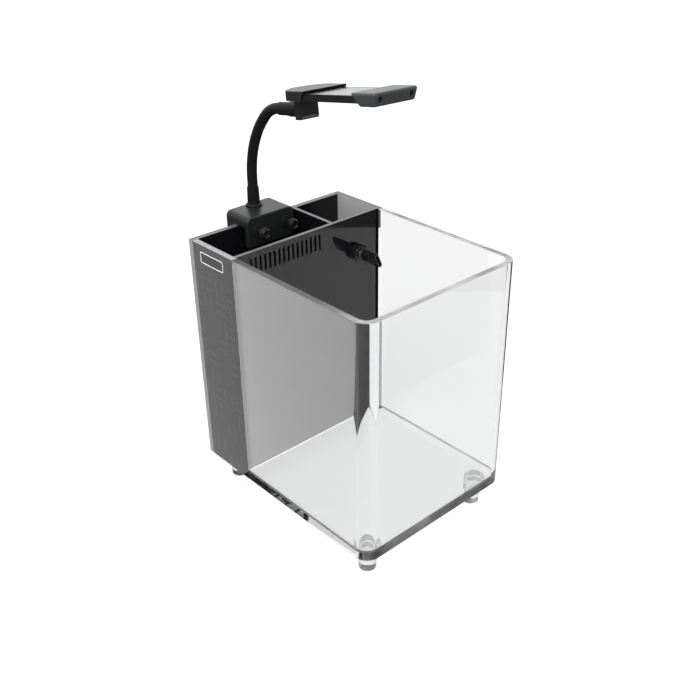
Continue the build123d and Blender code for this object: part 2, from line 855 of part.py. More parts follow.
def between_caps(low, high, x_middle, width):
    """A strip of the lamp between heights low and high that ends on both caps' slanted faces."""
    rear = y_cap_inner + cap_slant
    front = y_front_inner - front_inner_slant
    with BuildPart() as piece:
        with BuildSketch(head.offset(low)):
            with Locations((x_middle, (rear + front) / 2)):
                Rectangle(width, rear - front)
        extrude(amount=high - low)
        add(rear_end_cap.part, mode=Mode.SUBTRACT)
        add(front_cap_blank.part, mode=Mode.SUBTRACT)
    return piece


# Lamp panel between the caps: two rails, the top plate, the board with its lights, the diffuser
rail_x = half_width - cap_end_slant - rail_width / 2
bay_width = head_width - 2 * cap_end_slant - 2 * rail_width
z_lamp_top = z_head_low + lamp_thickness
z_plate = z_lamp_top - plate_thickness
z_board = z_plate - board_thickness
left_rail = between_caps(z_head_low, z_lamp_top, -rail_x, rail_width)
right_rail = between_caps(z_head_low, z_lamp_top, rail_x, rail_width)
lamp_panel = between_caps(z_plate, z_lamp_top, 0, bay_width)
diffuser = between_caps(z_head_low, z_head_low + diffuser_thickness, 0, bay_width)
led_board = between_caps(z_board, z_plate, 0, bay_width - 2 * board_margin)

y_lights = (y_cap_inner + y_front_inner) / 2
led_rows = int((y_cap_inner - y_front_inner) // led_pitch_y)
with BuildPart() as leds:
    with BuildSketch(head.offset(z_board)):
        with Locations((0, y_lights)):
            with GridLocations(led_pitch_x, led_pitch_y, led_columns, led_rows):
                Rectangle(led_size, led_size)
    extrude(amount=-led_height)

pieces = {
    "base_plate": base_plate,
    "tank_shell": tank_shell,
    "rear_panel": rear_panel,
    "left_side_panel": left_side_panel,
    "right_side_panel": right_side_panel,
    "overflow_divider": overflow_divider,
    "chamber_partition": chamber_partition,
    "foot_front_left": foot_front_left,
    "foot_front_right": foot_front_right,
    "foot_rear_left": foot_rear_left,
    "foot_rear_right": foot_rear_right,
    "nozzle_bulkhead": nozzle_bulkhead,
    "bulkhead_nut": bulkhead_nut,
    "nozzle_ball": nozzle_ball,
    "fan_nozzle": fan_nozzle,
    "return_hose": return_hose,
    "pump_cover": pump_cover,
    "pump_body": pump_body,
    "impeller": impeller,
    "impeller_shaft": impeller_shaft,
    "suction_cups": suction_cups,
    "media_tray": media_tray,
    "ceramic_rings": ceramic_rings,
    "filter_sponge": filter_sponge,
    "clamp_saddle": clamp_saddle,
    "clamp_liner": clamp_liner,
    "power_inlet": power_inlet,
    "screw_pad_left": screw_pad_left,
    "screw_pad_right": screw_pad_right,
    "thumbscrew_left": thumbscrew_left,
    "thumbscrew_right": thumbscrew_right,
    "base_collar": base_collar,
    "lower_ferrule": lower_ferrule,
    "gooseneck_lower": gooseneck_lower,
    "gooseneck_upper": gooseneck_upper,
    "upper_ferrule": upper_ferrule,
    "upper_collar": upper_collar,
    "neck_spigot": neck_spigot,
    "swivel_block": swivel_block,
    "rear_end_cap": rear_end_cap,
    "front_end_cap": front_end_cap,
    "cap_screws": cap_screws,
    "left_rail": left_rail,
    "right_rail": right_rail,
    "lamp_panel": lamp_panel,
    "led_board": led_board,
    "leds": leds,
    "diffuser": diffuser,
}
for name, piece in pieces.items():
    piece.part.label = name
    export_step(piece.part, f"parts/{name}.step")
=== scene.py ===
# %% [markdown]
# # A desktop aquarium with a clip-on lamp
# The solids of this tank are already modelled at their real size. Here they get their looks: clear
# acrylic that bends light, black acrylic whose pale top edges are partly sawn grey and partly a painted highlight,
# a satin lamp on a soft black neck.
# Blender never moves those solids, so every new piece is drawn straight in the frame's own metres.

# %% Load the frame
import json
import math

import bmesh
import bpy
from mathutils import Matrix, Vector, noise


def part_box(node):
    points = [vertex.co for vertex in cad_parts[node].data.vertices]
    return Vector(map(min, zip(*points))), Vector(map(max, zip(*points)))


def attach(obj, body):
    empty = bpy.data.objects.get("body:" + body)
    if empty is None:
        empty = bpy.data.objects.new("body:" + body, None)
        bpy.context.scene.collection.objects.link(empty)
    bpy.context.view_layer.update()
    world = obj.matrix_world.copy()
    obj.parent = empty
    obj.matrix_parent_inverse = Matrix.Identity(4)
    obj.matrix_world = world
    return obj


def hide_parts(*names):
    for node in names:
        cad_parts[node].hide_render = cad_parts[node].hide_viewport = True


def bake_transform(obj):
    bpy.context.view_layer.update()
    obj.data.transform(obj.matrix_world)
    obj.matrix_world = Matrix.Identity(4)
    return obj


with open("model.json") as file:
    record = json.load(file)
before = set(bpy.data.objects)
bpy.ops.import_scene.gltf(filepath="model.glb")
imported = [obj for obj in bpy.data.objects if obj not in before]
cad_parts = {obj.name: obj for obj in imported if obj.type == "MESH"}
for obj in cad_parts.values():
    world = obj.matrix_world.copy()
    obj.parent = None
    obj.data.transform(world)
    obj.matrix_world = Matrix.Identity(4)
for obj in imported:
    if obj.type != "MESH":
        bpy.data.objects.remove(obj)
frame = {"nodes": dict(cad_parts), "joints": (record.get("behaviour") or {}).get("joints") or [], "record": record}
nodes = frame["nodes"]
joints = {joint["name"]: joint for joint in frame["joints"]}
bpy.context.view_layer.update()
scene = bpy.context.scene
mm = 0.001

# %% [markdown]
# ## Camera
# The lens and the place were worked out from the tank's straight edges, which meet at vanishing
# points. A focal length in pixels becomes millimetres once the picture's width and the sensor's
# width are known. The small roll is the tilt of a hand-held camera.

# %% Place the camera
image_width = 700
focal_pixels = 930.22
sensor_width = 36.0
camera_azimuth = math.radians(-41.964)
camera_elevation = math.radians(29.605)
camera_roll = math.radians(-0.7307)
camera_place = Vector((-443.29, -497.88, 514.33)) * mm


def new_object(name, data):
    """An object in the scene."""
    item = bpy.data.objects.new(name, data)
    scene.collection.objects.link(item)
    return item


camera_data = bpy.data.cameras.new("camera")
camera_data.sensor_width = sensor_width
camera_data.lens = focal_pixels / image_width * sensor_width
camera = new_object("camera", camera_data)
scene.camera = camera

backward = Vector((
    math.sin(camera_azimuth) * math.cos(camera_elevation),
    -math.cos(camera_azimuth) * math.cos(camera_elevation),
    math.sin(camera_elevation),
))
level_right = (-backward).cross(Vector((0, 0, 1))).normalized()
level_up = level_right.cross(-backward)
right = level_right * math.cos(camera_roll) + level_up * math.sin(camera_roll)
up = level_up * math.cos(camera_roll) - level_right * math.sin(camera_roll)
camera_turn = Matrix((right, up, backward)).transposed().to_4x4()
camera.matrix_world = Matrix.Translation(camera_place) @ camera_turn
print("camera: lens", round(camera_data.lens, 2), "mm")

# %% [markdown]
# ## Helpers for node trees
# Shaders and Geometry Nodes are both trees of nodes. These small functions keep the cells short: most
# of them add one kind of node, fill in its sockets, and hand on the output that the next node needs.

# %% Node helpers
def feed(tree, inputs, values):
    """Links or sets several inputs, each found by its name or its number."""
    for name, value in values.items():
        if isinstance(value, bpy.types.NodeSocket):
            tree.links.new(value, inputs[name])
        else:
            inputs[name].default_value = value


def add(tree, kind, inputs=None, **settings):
    """Adds a node, sets its properties, then feeds its inputs."""
    node = tree.nodes.new(kind)
    for name, value in settings.items():
        setattr(node, name, value)
    feed(tree, node.inputs, inputs or {})
    return node


def calc(tree, operation, first, second=0.0, third=0.0):
    """One Math node; a part may be a number or the output of another node."""
    return add(tree, "ShaderNodeMath", {0: first, 1: second, 2: third}, operation=operation).outputs[0]


def product(tree, first, *others):
    """Values or masks multiplied together."""
    for other in others:
        first = calc(tree, "MULTIPLY", first, other)
    return first


def between(tree, value, low, high):
    """One where a value lies between two limits, zero elsewhere."""
    return calc(tree, "COMPARE", value, (low + high) / 2, (high - low) / 2)


def ramp(tree, value, low, high, first=0.0, last=1.0):
    """Maps a value from low and high to first and last, and holds it beyond them."""
    limits = {"Value": value, "From Min": low, "From Max": high, "To Min": first, "To Max": last}
    return add(tree, "ShaderNodeMapRange", limits).outputs[0]


def mix(tree, share, first, second):
    """Two values blended by a share."""
    return add(tree, "ShaderNodeMix", {0: share, 2: first, 3: second}).outputs[0]


def mix_colour(tree, share, first, second):
    """Two colours blended by a share."""
    return add(tree, "ShaderNodeMix", {0: share, 6: first, 7: second}, data_type="RGBA").outputs[2]


def dot(tree, first, second):
    """How far one vector reaches along another."""
    return add(tree, "ShaderNodeVectorMath", {0: first, 1: second}, operation="DOT_PRODUCT").outputs["Value"]


def split(tree, vector):
    """The X, Y and Z of a vector."""
    return add(tree, "ShaderNodeSeparateXYZ", {0: vector}).outputs


def noise_mask(tree, vector, scale, detail):
    """Soft noise from zero to one."""
    return add(tree, "ShaderNodeTexNoise", {"Vector": vector, "Scale": scale, "Detail": detail}).outputs[0]


def place_of(tree, kind="Object"):
    """The piece's own coordinates, or another kind such as its normal."""
    return add(tree, "ShaderNodeTexCoord").outputs[kind]


print("node helpers are ready")

# %% Tree helpers
VECTOR, VALUE, COLOUR = "NodeSocketVector", "NodeSocketFloat", "NodeSocketColor"
GEOMETRY, FINISH = "NodeSocketGeometry", "NodeSocketMaterial"
types_of_values = {float: VALUE, int: "NodeSocketInt", tuple: COLOUR}


def start_group(name, kind, takes, gives):
    """A node group; takes holds each input's type or first value by its label, gives each output's type."""
    group = bpy.data.node_groups.new(name, f"{kind}NodeTree")
    for label, value in takes.items():
        socket_type = types_of_values.get(type(value), value)
        socket = group.interface.new_socket(label, in_out="INPUT", socket_type=socket_type)
        if socket_type != value:
            socket.default_value = value
    for label, socket_type in gives.items():
        group.interface.new_socket(label, in_out="OUTPUT", socket_type=socket_type)
    return group, group.nodes.new("NodeGroupInput").outputs, group.nodes.new("NodeGroupOutput").inputs


def use_group(tree, group, inputs):
    """A group placed in a tree with its own values."""
    return add(tree, "ShaderNodeGroup", inputs, node_tree=group).outputs


def bare_tree(name):
    """An empty material tree with its output."""
    material = bpy.data.materials.new(name)
    material.use_nodes = True
    material.node_tree.nodes.clear()
    return material, material.node_tree, material.node_tree.nodes.new("ShaderNodeOutputMaterial")


def start_finish(name):
    """A material with its shader and its output, and the piece's own coordinates."""
    material, tree, output = bare_tree(name)
    shader = add(tree, "ShaderNodeBsdfPrincipled")
    tree.links.new(shader.outputs[0], output.inputs["Surface"])
    return material, tree, shader, place_of(tree)


def mix_shaders(tree, share, first, second):
    """Two shaders blended by a share."""
    return add(tree, "ShaderNodeMixShader", {0: share, 1: first, 2: second}).outputs[0]


def grey_tone(value, warmth=0.0):
    """A near-neutral colour, a little warmer or cooler."""
    return (value * (1 + warmth), value, value * (1 - warmth), 1.0)


print("tree helpers are ready")

# %% [markdown]
# ## Stage
# The tank stands on plain white. A camera ray, or one that has passed through the clear walls, sees
# the floor as white paper that still holds a soft shadow. Glossy surfaces see a greyer floor, a pale
# backdrop behind the tank, and bright cards low on the left. The upper card starts level with the black
# divider, so its reflection lays a pale veil over the divider's end of the left wall and nowhere else. It
# fades out far from the tank. Only reflections that start on the tank, below its rim, and run towards the
# back find the cards. All others, the back's and the lamp's too, pass through them to the floor.
# Each wall that a ray passes adds two to its depth, so an odd depth means that it was mirrored as well.
# Mirrored inside the tank, it sees a dimmer floor. Mirrored only by the divider it has a depth of three,
# and past the paper's front edge it finds a dark room: that is the dark corner on the divider.
# Light runs a long way inside clear acrylic, so its paths get more bounces than usual. What has run along
# inside a sheet arrives with a great depth, and it sees a pale floor and a pale room.

# %% Floor
white = (1.0, 1.0, 1.0, 1.0)
floor_reach = 5.0
floor_drop = 0.3 * mm
paper_glow = 0.82
paper_through = 0.86
paper_mirrored = 0.25
paper_shadow = 0.30
paper_way = (0.66, -0.75, 0.0)
paper_edge = 0.540
room_dark = 0.06
gloss_floor = 0.14
bounce = 0.80
divider_depth = (2.5, 3.5)
inside_depth = 4.5
sheet_depth = 8.5
sheet_glow = 0.78


def flat_card(name, finish, low_x, high_x, low_y, high_y, height):
    """A level rectangle of the stage."""
    mesh = bpy.data.meshes.new(name)
    corners = [(low_x, low_y), (high_x, low_y), (high_x, high_y), (low_x, high_y)]
    mesh.from_pydata([(x, y, height) for x, y in corners], [], [(0, 1, 2, 3)])
    mesh.materials.append(finish)
    card = new_object(name, mesh)
    return card


def glow(tree, strength):
    """White light of a given strength."""
    return add(tree, "ShaderNodeEmission", {"Color": white, "Strength": strength}).outputs[0]


def matt(tree, tone):
    """A matt grey."""
    return add(tree, "ShaderNodeBsdfDiffuse", {"Color": grey_tone(tone)}).outputs[0]


floor_paper, tree, output = bare_tree("floor_paper")
path = add(tree, "ShaderNodeLightPath").outputs
seen = calc(tree, "MAXIMUM", path["Is Camera Ray"], path["Is Transmission Ray"])
odd = calc(tree, "FLOORED_MODULO", path["Ray Depth"], 2.0)
mirrored_inside = product(tree, odd, between(tree, path["Ray Depth"], inside_depth, sheet_depth))
along_sheet = calc(tree, "GREATER_THAN", path["Ray Depth"], sheet_depth)
through = mix(tree, along_sheet, paper_through, sheet_glow)
through = mix(tree, mirrored_inside, through, paper_mirrored)
level = mix(tree, path["Is Transmission Ray"], paper_glow, through)
paper = add(tree, "ShaderNodeAddShader", {0: glow(tree, level), 1: matt(tree, paper_shadow)}).outputs[0]
other = mix_shaders(tree, path["Is Glossy Ray"], matt(tree, bounce), glow(tree, gloss_floor))
mixed = mix_shaders(tree, seen, other, paper)
past_edge = calc(tree, "GREATER_THAN", dot(tree, place_of(tree), paper_way), paper_edge)
past_edge = product(tree, past_edge, between(tree, path["Ray Depth"], *divider_depth))
whole = mix_shaders(tree, past_edge, mixed, glow(tree, room_dark))
tree.links.new(whole, output.inputs["Surface"])
flat_card("floor", floor_paper, -floor_reach, floor_reach, -floor_reach, floor_reach, -floor_drop)
print("floor:", 2 * floor_reach, "m wide")

# %% Cards for the glossy sides
card_near, card_far = 3.1, 3.8
card_left, card_right, card_back = -0.34, -0.08, 0.52
card_end_left, card_end_back = -1.30, 1.60
from_side, from_ahead = -0.10, -0.45
divider_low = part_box("overflow_divider")[0]
low_card_height = 2.0 * mm
low_card_start = divider_low.y + 30.0 * mm
glossy_margin = 0.3 * mm
back_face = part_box("rear_panel")[1].y - glossy_margin
tank_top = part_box("tank_shell")[1].z + glossy_margin

card_paint, tree, output = bare_tree("card_paint")
touch = add(tree, "ShaderNodeNewGeometry").outputs
run = add(tree, "ShaderNodeLightPath").outputs["Ray Length"]
way_back = add(tree, "ShaderNodeVectorMath", {0: touch["Incoming"], "Scale": run}, operation="SCALE")
steps_back = {0: touch["Position"], 1: way_back.outputs["Vector"]}
source = split(tree, add(tree, "ShaderNodeVectorMath", steps_back, operation="ADD").outputs["Vector"])
before_back = calc(tree, "LESS_THAN", source["Y"], back_face)
below_rim = calc(tree, "LESS_THAN", source["Z"], tank_top)
from_front = ramp(tree, split(tree, touch["Incoming"])["Y"], from_side, from_ahead)
card_spot = split(tree, place_of(tree))
level = ramp(tree, card_spot["X"], card_right, card_left, card_near, card_far)
fade_left = ramp(tree, card_spot["X"], card_end_left, card_left)
fade_back = ramp(tree, card_spot["Y"], card_end_back, card_back)
shown = product(tree, before_back, below_rim, from_front, product(tree, fade_left, fade_back))
gone = add(tree, "ShaderNodeBsdfTransparent", {"Color": white}).outputs[0]
tree.links.new(mix_shaders(tree, shown, gone, glow(tree, level)), output.inputs["Surface"])
cards = [
    flat_card("side_card", card_paint, card_end_left, card_right, divider_low.y, card_end_back,
              divider_low.z),
    flat_card("low_card", card_paint, card_left, card_right, low_card_start, card_back, low_card_height),
]
for card in cards:
    for ray in ("camera", "diffuse", "transmission", "volume_scatter", "shadow"):
        setattr(card, f"visible_{ray}", False)
print("cards:", [card.name for card in cards])

# %% World and lamps
sky_low, sky_high, sky_top = 0.30, 0.75, 0.9
backdrop_low, backdrop_high, backdrop_full = 0.30, 1.30, 0.75
backdrop_way = (0.64, 0.77, 0.0)
room_depth = 2.5
deep_share = 0.1
light_bounces = 40
tank_middle = (0.0, 0.0, 0.12)

world = bpy.data.worlds.new("studio")
scene.world = world
world.use_nodes = True
tree = world.node_tree
tree.nodes.clear()
way = place_of(tree, "Generated")
path = add(tree, "ShaderNodeLightPath").outputs
sky = ramp(tree, split(tree, way)["Z"], 0.0, sky_top, sky_low, sky_high)
backdrop = ramp(tree, dot(tree, way, backdrop_way), 0.0, backdrop_full, backdrop_low, backdrop_high)
around = calc(tree, "MAXIMUM", sky, backdrop)
deep = between(tree, path["Ray Depth"], room_depth, sheet_depth)
room = mix(tree, deep, around, product(tree, around, deep_share))
along_sheet = calc(tree, "GREATER_THAN", path["Ray Depth"], sheet_depth)
room = mix(tree, along_sheet, room, sheet_glow)
strength = mix(tree, path["Is Camera Ray"], room, 1.0)
background = add(tree, "ShaderNodeBackground", {"Color": white, "Strength": strength})
add(tree, "ShaderNodeOutputWorld", {"Surface": background.outputs[0]})


def soft_light(name, place, target, size, power):
    """A large square lamp that points at a target and stays out of the picture."""
    data = bpy.data.lights.new(name, "AREA")
    data.size = size
    data.energy = power
    lamp = new_object(name, data)
    lamp.location = place
    lamp.rotation_euler = (Vector(target) - Vector(place)).to_track_quat("-Z", "Y").to_euler()
    lamp.visible_camera = False
    lamp.visible_transmission = False
    return lamp


soft_light("key_light", place=(-0.9, -0.5, 1.3), target=tank_middle, size=1.0, power=14.0)
back_light = soft_light("back_light", place=(0.9, 1.1, 1.1), target=tank_middle, size=1.2, power=8.0)
back_light.visible_glossy = False
for kind in ("max_bounces", "glossy_bounces", "transmission_bounces"):
    setattr(scene.cycles, kind, light_bounces)
scene.view_settings.view_transform = "Standard"
print("world and two lamps")

# %% [markdown]
# ## Shared surface effects
# Moulded plastic is never one flat tone. A fine noise roughens it, a broad one lets the tone drift.
# Acrylic sheet has other marks: faint rubbed streaks on its faces, and pale top edges that are partly
# the grey of the saw and partly a painted highlight. Each effect is a node group, so every finish can place it
# with its own values.

# %% Group: moulded grain
fine_share = 0.35
grain_height = 0.05 * mm

moulded_grain, takes, gives = start_group("moulded_grain", "Shader", {
    "Vector": VECTOR, "Dark": grey_tone(0.02), "Light": grey_tone(0.04), "Grain": 2500.0, "Drift": 60.0,
    "Smooth": 0.3, "Rough": 0.45, "Depth": 0.15,
}, {"Colour": COLOUR, "Roughness": VALUE, "Normal": VECTOR})
tree = moulded_grain
fine = noise_mask(tree, takes["Vector"], takes["Grain"], 2.0)
broad = noise_mask(tree, takes["Vector"], takes["Drift"], 4.0)
tone = calc(tree, "ADD", product(tree, fine, fine_share), product(tree, broad, 1 - fine_share))
bump = add(tree, "ShaderNodeBump", {"Strength": takes["Depth"], "Distance": grain_height, "Height": fine})
feed(tree, gives, {
    "Colour": mix_colour(tree, tone, takes["Dark"], takes["Light"]),
    "Roughness": ramp(tree, tone, 0.0, 1.0, takes["Smooth"], takes["Rough"]),
    "Normal": bump.outputs[0],
})
print("group:", moulded_grain.name)

# %% Group: rubbed streaks
streak_stretch = (1.0, 1.0, 0.06)
cloud_scale = 35.0
least_rub, most_rub = 0.15, 0.40

rubbed_streaks, takes, gives = start_group("rubbed_streaks", "Shader", {
    "Vector": VECTOR, "Across": 900.0, "Low": 0.03, "High": 0.10,
}, {"Mask": VALUE, "Roughness": VALUE})
tree = rubbed_streaks
stretched = add(tree, "ShaderNodeMapping", {"Vector": takes["Vector"], "Scale": streak_stretch})
streak = noise_mask(tree, stretched.outputs[0], takes["Across"], 3.0)
mask = product(tree, streak, noise_mask(tree, takes["Vector"], cloud_scale, 5.0))
rough = ramp(tree, mask, least_rub, most_rub, takes["Low"], takes["High"])
feed(tree, gives, {"Mask": mask, "Roughness": rough})
print("group:", rubbed_streaks.name)

# %% Group: sawn edge with painted highlight
facing_enough = 0.7
rim_band = 0.4 * mm
saw_scale = 420.0

sawn_edge_and_highlight, takes, gives = start_group("sawn_edge_and_highlight", "Shader", {
    "Vector": VECTOR, "Rim": 0.228, "Dark": grey_tone(0.1), "Pale": grey_tone(0.4),
}, {"Mask": VALUE, "Colour": COLOUR})
tree = sawn_edge_and_highlight
level = calc(tree, "GREATER_THAN", split(tree, place_of(tree, "Normal"))["Z"], facing_enough)
band_low = calc(tree, "SUBTRACT", takes["Rim"], rim_band)
near_rim = calc(tree, "GREATER_THAN", split(tree, takes["Vector"])["Z"], band_low)
marks = noise_mask(tree, takes["Vector"], saw_scale, 3.0)
feed(tree, gives, {
    "Mask": product(tree, level, near_rim),
    "Colour": mix_colour(tree, marks, takes["Dark"], takes["Pale"]),
})
print("group:", sawn_edge_and_highlight.name)

# %% [markdown]
# ## Clear acrylic
# Clear acrylic bends light with an index of about 1.49, a little less than glass. Light has to pass
# through it to reach the filter and the floor, so shadow rays and diffuse bounces go straight through,
# while the eye sees the real refraction. The polish is perfect, and the rubbing only tints it a little.
# The cut edges and the moulded feet are the exception. The wall's rim and the base plate's front edge are
# rough from the saw, and they scatter the light that runs along inside the sheet. The base plate's sides
# are polished, so they show where that light came from: the black filter behind, or the white room beyond
# the far edge.

# %% Finish: clear acrylic
acrylic_index = 1.49
cut_facing = 0.5
clear_cool, sawn_warm = -0.002, 0.02
sawn_clear = 0.90
rub_loss = 0.012
patch_scale, patch_low, patch_high = 40.0, 0.38, 0.62
shadow_tint = (0.97, 0.975, 0.975, 1)


def clear_acrylic_finish(name, clear=0.990, dull=0.0, sawn=0.0, sawn_way=(0, 0, 1)):
    """Clear sheet; sawn is the least roughness of the cut edges that face sawn_way."""
    material, tree, shader, place = start_finish(name)
    marks = use_group(tree, rubbed_streaks, {"Vector": place})
    rubbed = grey_tone(clear - rub_loss, clear_cool)
    tint = mix_colour(tree, marks["Mask"], grey_tone(clear, clear_cool), rubbed)
    rough = dull
    if sawn:
        facing = dot(tree, place_of(tree, "Normal"), sawn_way)
        cut = calc(tree, "GREATER_THAN", facing, cut_facing)
        tint = mix_colour(tree, cut, tint, grey_tone(sawn_clear, sawn_warm))
        patches = noise_mask(tree, place, patch_scale, 2.0)
        rough = product(tree, cut, ramp(tree, patches, patch_low, patch_high, sawn, 2 * sawn))
    feed(tree, shader.inputs, {"Base Color": tint, "Roughness": rough, "IOR": acrylic_index})
    shader.inputs["Transmission Weight"].default_value = 1.0
    path = add(tree, "ShaderNodeLightPath").outputs
    passes = calc(tree, "MAXIMUM", path["Is Shadow Ray"], path["Is Diffuse Ray"])
    through = add(tree, "ShaderNodeBsdfTransparent", {"Color": shadow_tint}).outputs[0]
    mixed = mix_shaders(tree, passes, shader.outputs[0], through)
    tree.links.new(mixed, tree.nodes["Material Output"].inputs["Surface"])
    return material


clear_acrylic = clear_acrylic_finish("clear_acrylic_finish")
# The base plate is tinted darker than the wall: painted shade on the floor seen through it, under the tank.
sawn_base = clear_acrylic_finish("sawn_base_finish", 0.945, sawn=0.42, sawn_way=(0, -1, 0))
sawn_rim = clear_acrylic_finish("sawn_rim_finish", sawn=0.35)
moulded_foot = clear_acrylic_finish("moulded_foot_finish", 0.93, dull=0.20)
print("finishes:", clear_acrylic.name, sawn_base.name, sawn_rim.name, moulded_foot.name)

# %% [markdown]
# ## Black acrylic
# The filter's panels are cut from black sheet. Their faces mirror the room. Their top edges are pale:
# partly the grey left by the saw, partly a painted highlight where light catches them, set panel by panel.
# The two side panels carry more: a print of short crossed strokes in nearly the panel's own tone outside,
# and a grey backing on the face inside the filter, made paler to paint in light that the filter's inside lacks.

# %% Group: basket weave print
half_stroke = 0.46

basket_weave, takes, gives = start_group("basket_weave", "Shader", {
    "Vector": VECTOR, "Cell": 17.0 * mm, "Strokes": 2.0, "Width": 0.12, "Share": 0.66, "From": 0.0,
    "Below": 1.0,
}, {"Mask": VALUE})
tree = basket_weave
spot = split(tree, takes["Vector"])
across = calc(tree, "DIVIDE", spot["Y"], takes["Cell"])
along = calc(tree, "DIVIDE", spot["Z"], takes["Cell"])
column = calc(tree, "FLOOR", across)
row = calc(tree, "FLOOR", along)
turned_cell = calc(tree, "FLOORED_MODULO", calc(tree, "ADD", column, row), 2.0)
cell_name = add(tree, "ShaderNodeCombineXYZ", {"X": column, "Y": row}).outputs[0]
chance = add(tree, "ShaderNodeTexWhiteNoise", {"Vector": cell_name}, noise_dimensions="2D").outputs["Value"]


def off_centre(value):
    """How far a value is from the middle of its own unit."""
    from_middle = calc(basket_weave, "SUBTRACT", calc(basket_weave, "FRACT", value), 0.5)
    return calc(basket_weave, "ABSOLUTE", from_middle)


crossing = product(tree, mix(tree, turned_cell, across, along), takes["Strokes"])
on_line = calc(tree, "LESS_THAN", off_centre(crossing), takes["Width"])
on_run = calc(tree, "LESS_THAN", off_centre(mix(tree, turned_cell, along, across)), half_stroke)
printed_cell = calc(tree, "LESS_THAN", chance, takes["Share"])
behind_seam = calc(tree, "GREATER_THAN", spot["Y"], takes["From"])
inside = product(tree, behind_seam, calc(tree, "LESS_THAN", spot["Z"], takes["Below"]))
stroke = product(tree, on_line, on_run)
feed(tree, gives, {"Mask": product(tree, stroke, product(tree, printed_cell, inside))})
print("group:", basket_weave.name)

# %% Finish: black acrylic, plain, printed and backed
rim_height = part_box("tank_shell")[1].z
print_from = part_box("left_side_panel")[0].y + 4.0 * mm
print_below = rim_height - 22.0 * mm
filter_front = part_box("overflow_divider")[1].y
body_look = {"Dark": (0.006, 0.006, 0.007, 1), "Light": (0.012, 0.012, 0.014, 1),
             "Grain": 300.0, "Drift": 25.0}
panel_rub = {"Low": 0.02, "High": 0.06}
print_ink = (0.034, 0.034, 0.035, 1)
backing_grey_and_light, backing_rough = (0.64, 0.64, 0.645, 1), 0.45
sawn_and_lit_cool, sawn_rough = -0.02, 0.38


def black_acrylic_finish(name, backing_side=0, gloss=0.5, sawn_and_lit_dark=0.07, sawn_and_lit_pale=0.20):
    """Black sheet; backing_side is the sign of X that a side panel's grey inner face points to."""
    material, tree, shader, place = start_finish(name)
    colour = use_group(tree, moulded_grain, {"Vector": place, **body_look})["Colour"]
    rough = use_group(tree, rubbed_streaks, {"Vector": place, **panel_rub})["Roughness"]
    if backing_side:
        facing = split(tree, place_of(tree, "Normal"))["X"]
        weave = {"Vector": place, "From": print_from, "Below": print_below}
        print_mask = use_group(tree, basket_weave, weave)["Mask"]
        outward = calc(tree, "GREATER_THAN", product(tree, facing, -backing_side), facing_enough)
        colour = mix_colour(tree, product(tree, print_mask, outward), colour, print_ink)
        behind = calc(tree, "GREATER_THAN", split(tree, place)["Y"], filter_front)
        inward = calc(tree, "GREATER_THAN", product(tree, facing, backing_side), facing_enough)
        inward = product(tree, inward, behind)
        # The grey backing is set paler than its own grey: painted light for the filter's inside, which the lamps
        # barely reach.
        colour = mix_colour(tree, inward, colour, backing_grey_and_light)
        rough = mix(tree, inward, rough, backing_rough)
    # Top edges: partly the grey of the saw, partly a painted highlight where light catches them.
    tones = {"Dark": grey_tone(sawn_and_lit_dark, sawn_and_lit_cool), "Pale": grey_tone(sawn_and_lit_pale, sawn_and_lit_cool)}
    edge = use_group(tree, sawn_edge_and_highlight, {"Vector": place, "Rim": rim_height, **tones})
    feed(tree, shader.inputs, {
        "Base Color": mix_colour(tree, edge["Mask"], colour, edge["Colour"]),
        "Roughness": mix(tree, edge["Mask"], rough, sawn_rough),
        "IOR": acrylic_index, "Specular IOR Level": gloss,
    })
    return material


black_acrylic = black_acrylic_finish("black_acrylic_finish")
left_panel = black_acrylic_finish("left_panel_finish", 1, gloss=0.10, sawn_and_lit_dark=0.19, sawn_and_lit_pale=0.60)
right_panel = black_acrylic_finish("right_panel_finish", -1, gloss=0.11, sawn_and_lit_dark=0.10, sawn_and_lit_pale=0.28)
print("finishes:", black_acrylic.name, left_panel.name, right_panel.name)

# %% [markdown]
# ## Moulded plastics, rubber, metal and the filter's insides
# Most of the small pieces are moulded: the lamp in satin black with a fine spark texture, the nozzle
# and pump a little glossier, the neck in a soft sleeve. One function places the grain group with each
# finish's own tones, so the differences between them are easy to read side by side.

# %% Finishes from the grain group
def moulded_finish(name, dark, light, smooth, rough, warmth=0.0, grain=2500.0, depth=0.15, drift=60.0,
                   metal=0.0, gloss=0.5, through=0.0):
    """Tones from dark to light, as greys or whole colours, and roughness from smooth to rough."""
    material, tree, shader, place = start_finish(name)
    dark, light = (tone if isinstance(tone, tuple) else grey_tone(tone, warmth) for tone in (dark, light))
    surface = use_group(tree, moulded_grain, {
        "Vector": place, "Dark": dark, "Light": light, "Grain": grain, "Drift": drift, "Smooth": smooth,
        "Rough": rough, "Depth": depth,
    })
    feed(tree, shader.inputs, {
        "Base Color": surface["Colour"], "Roughness": surface["Roughness"], "Normal": surface["Normal"],
        "Metallic": metal, "Specular IOR Level": gloss, "Transmission Weight": through,
    })
    return material


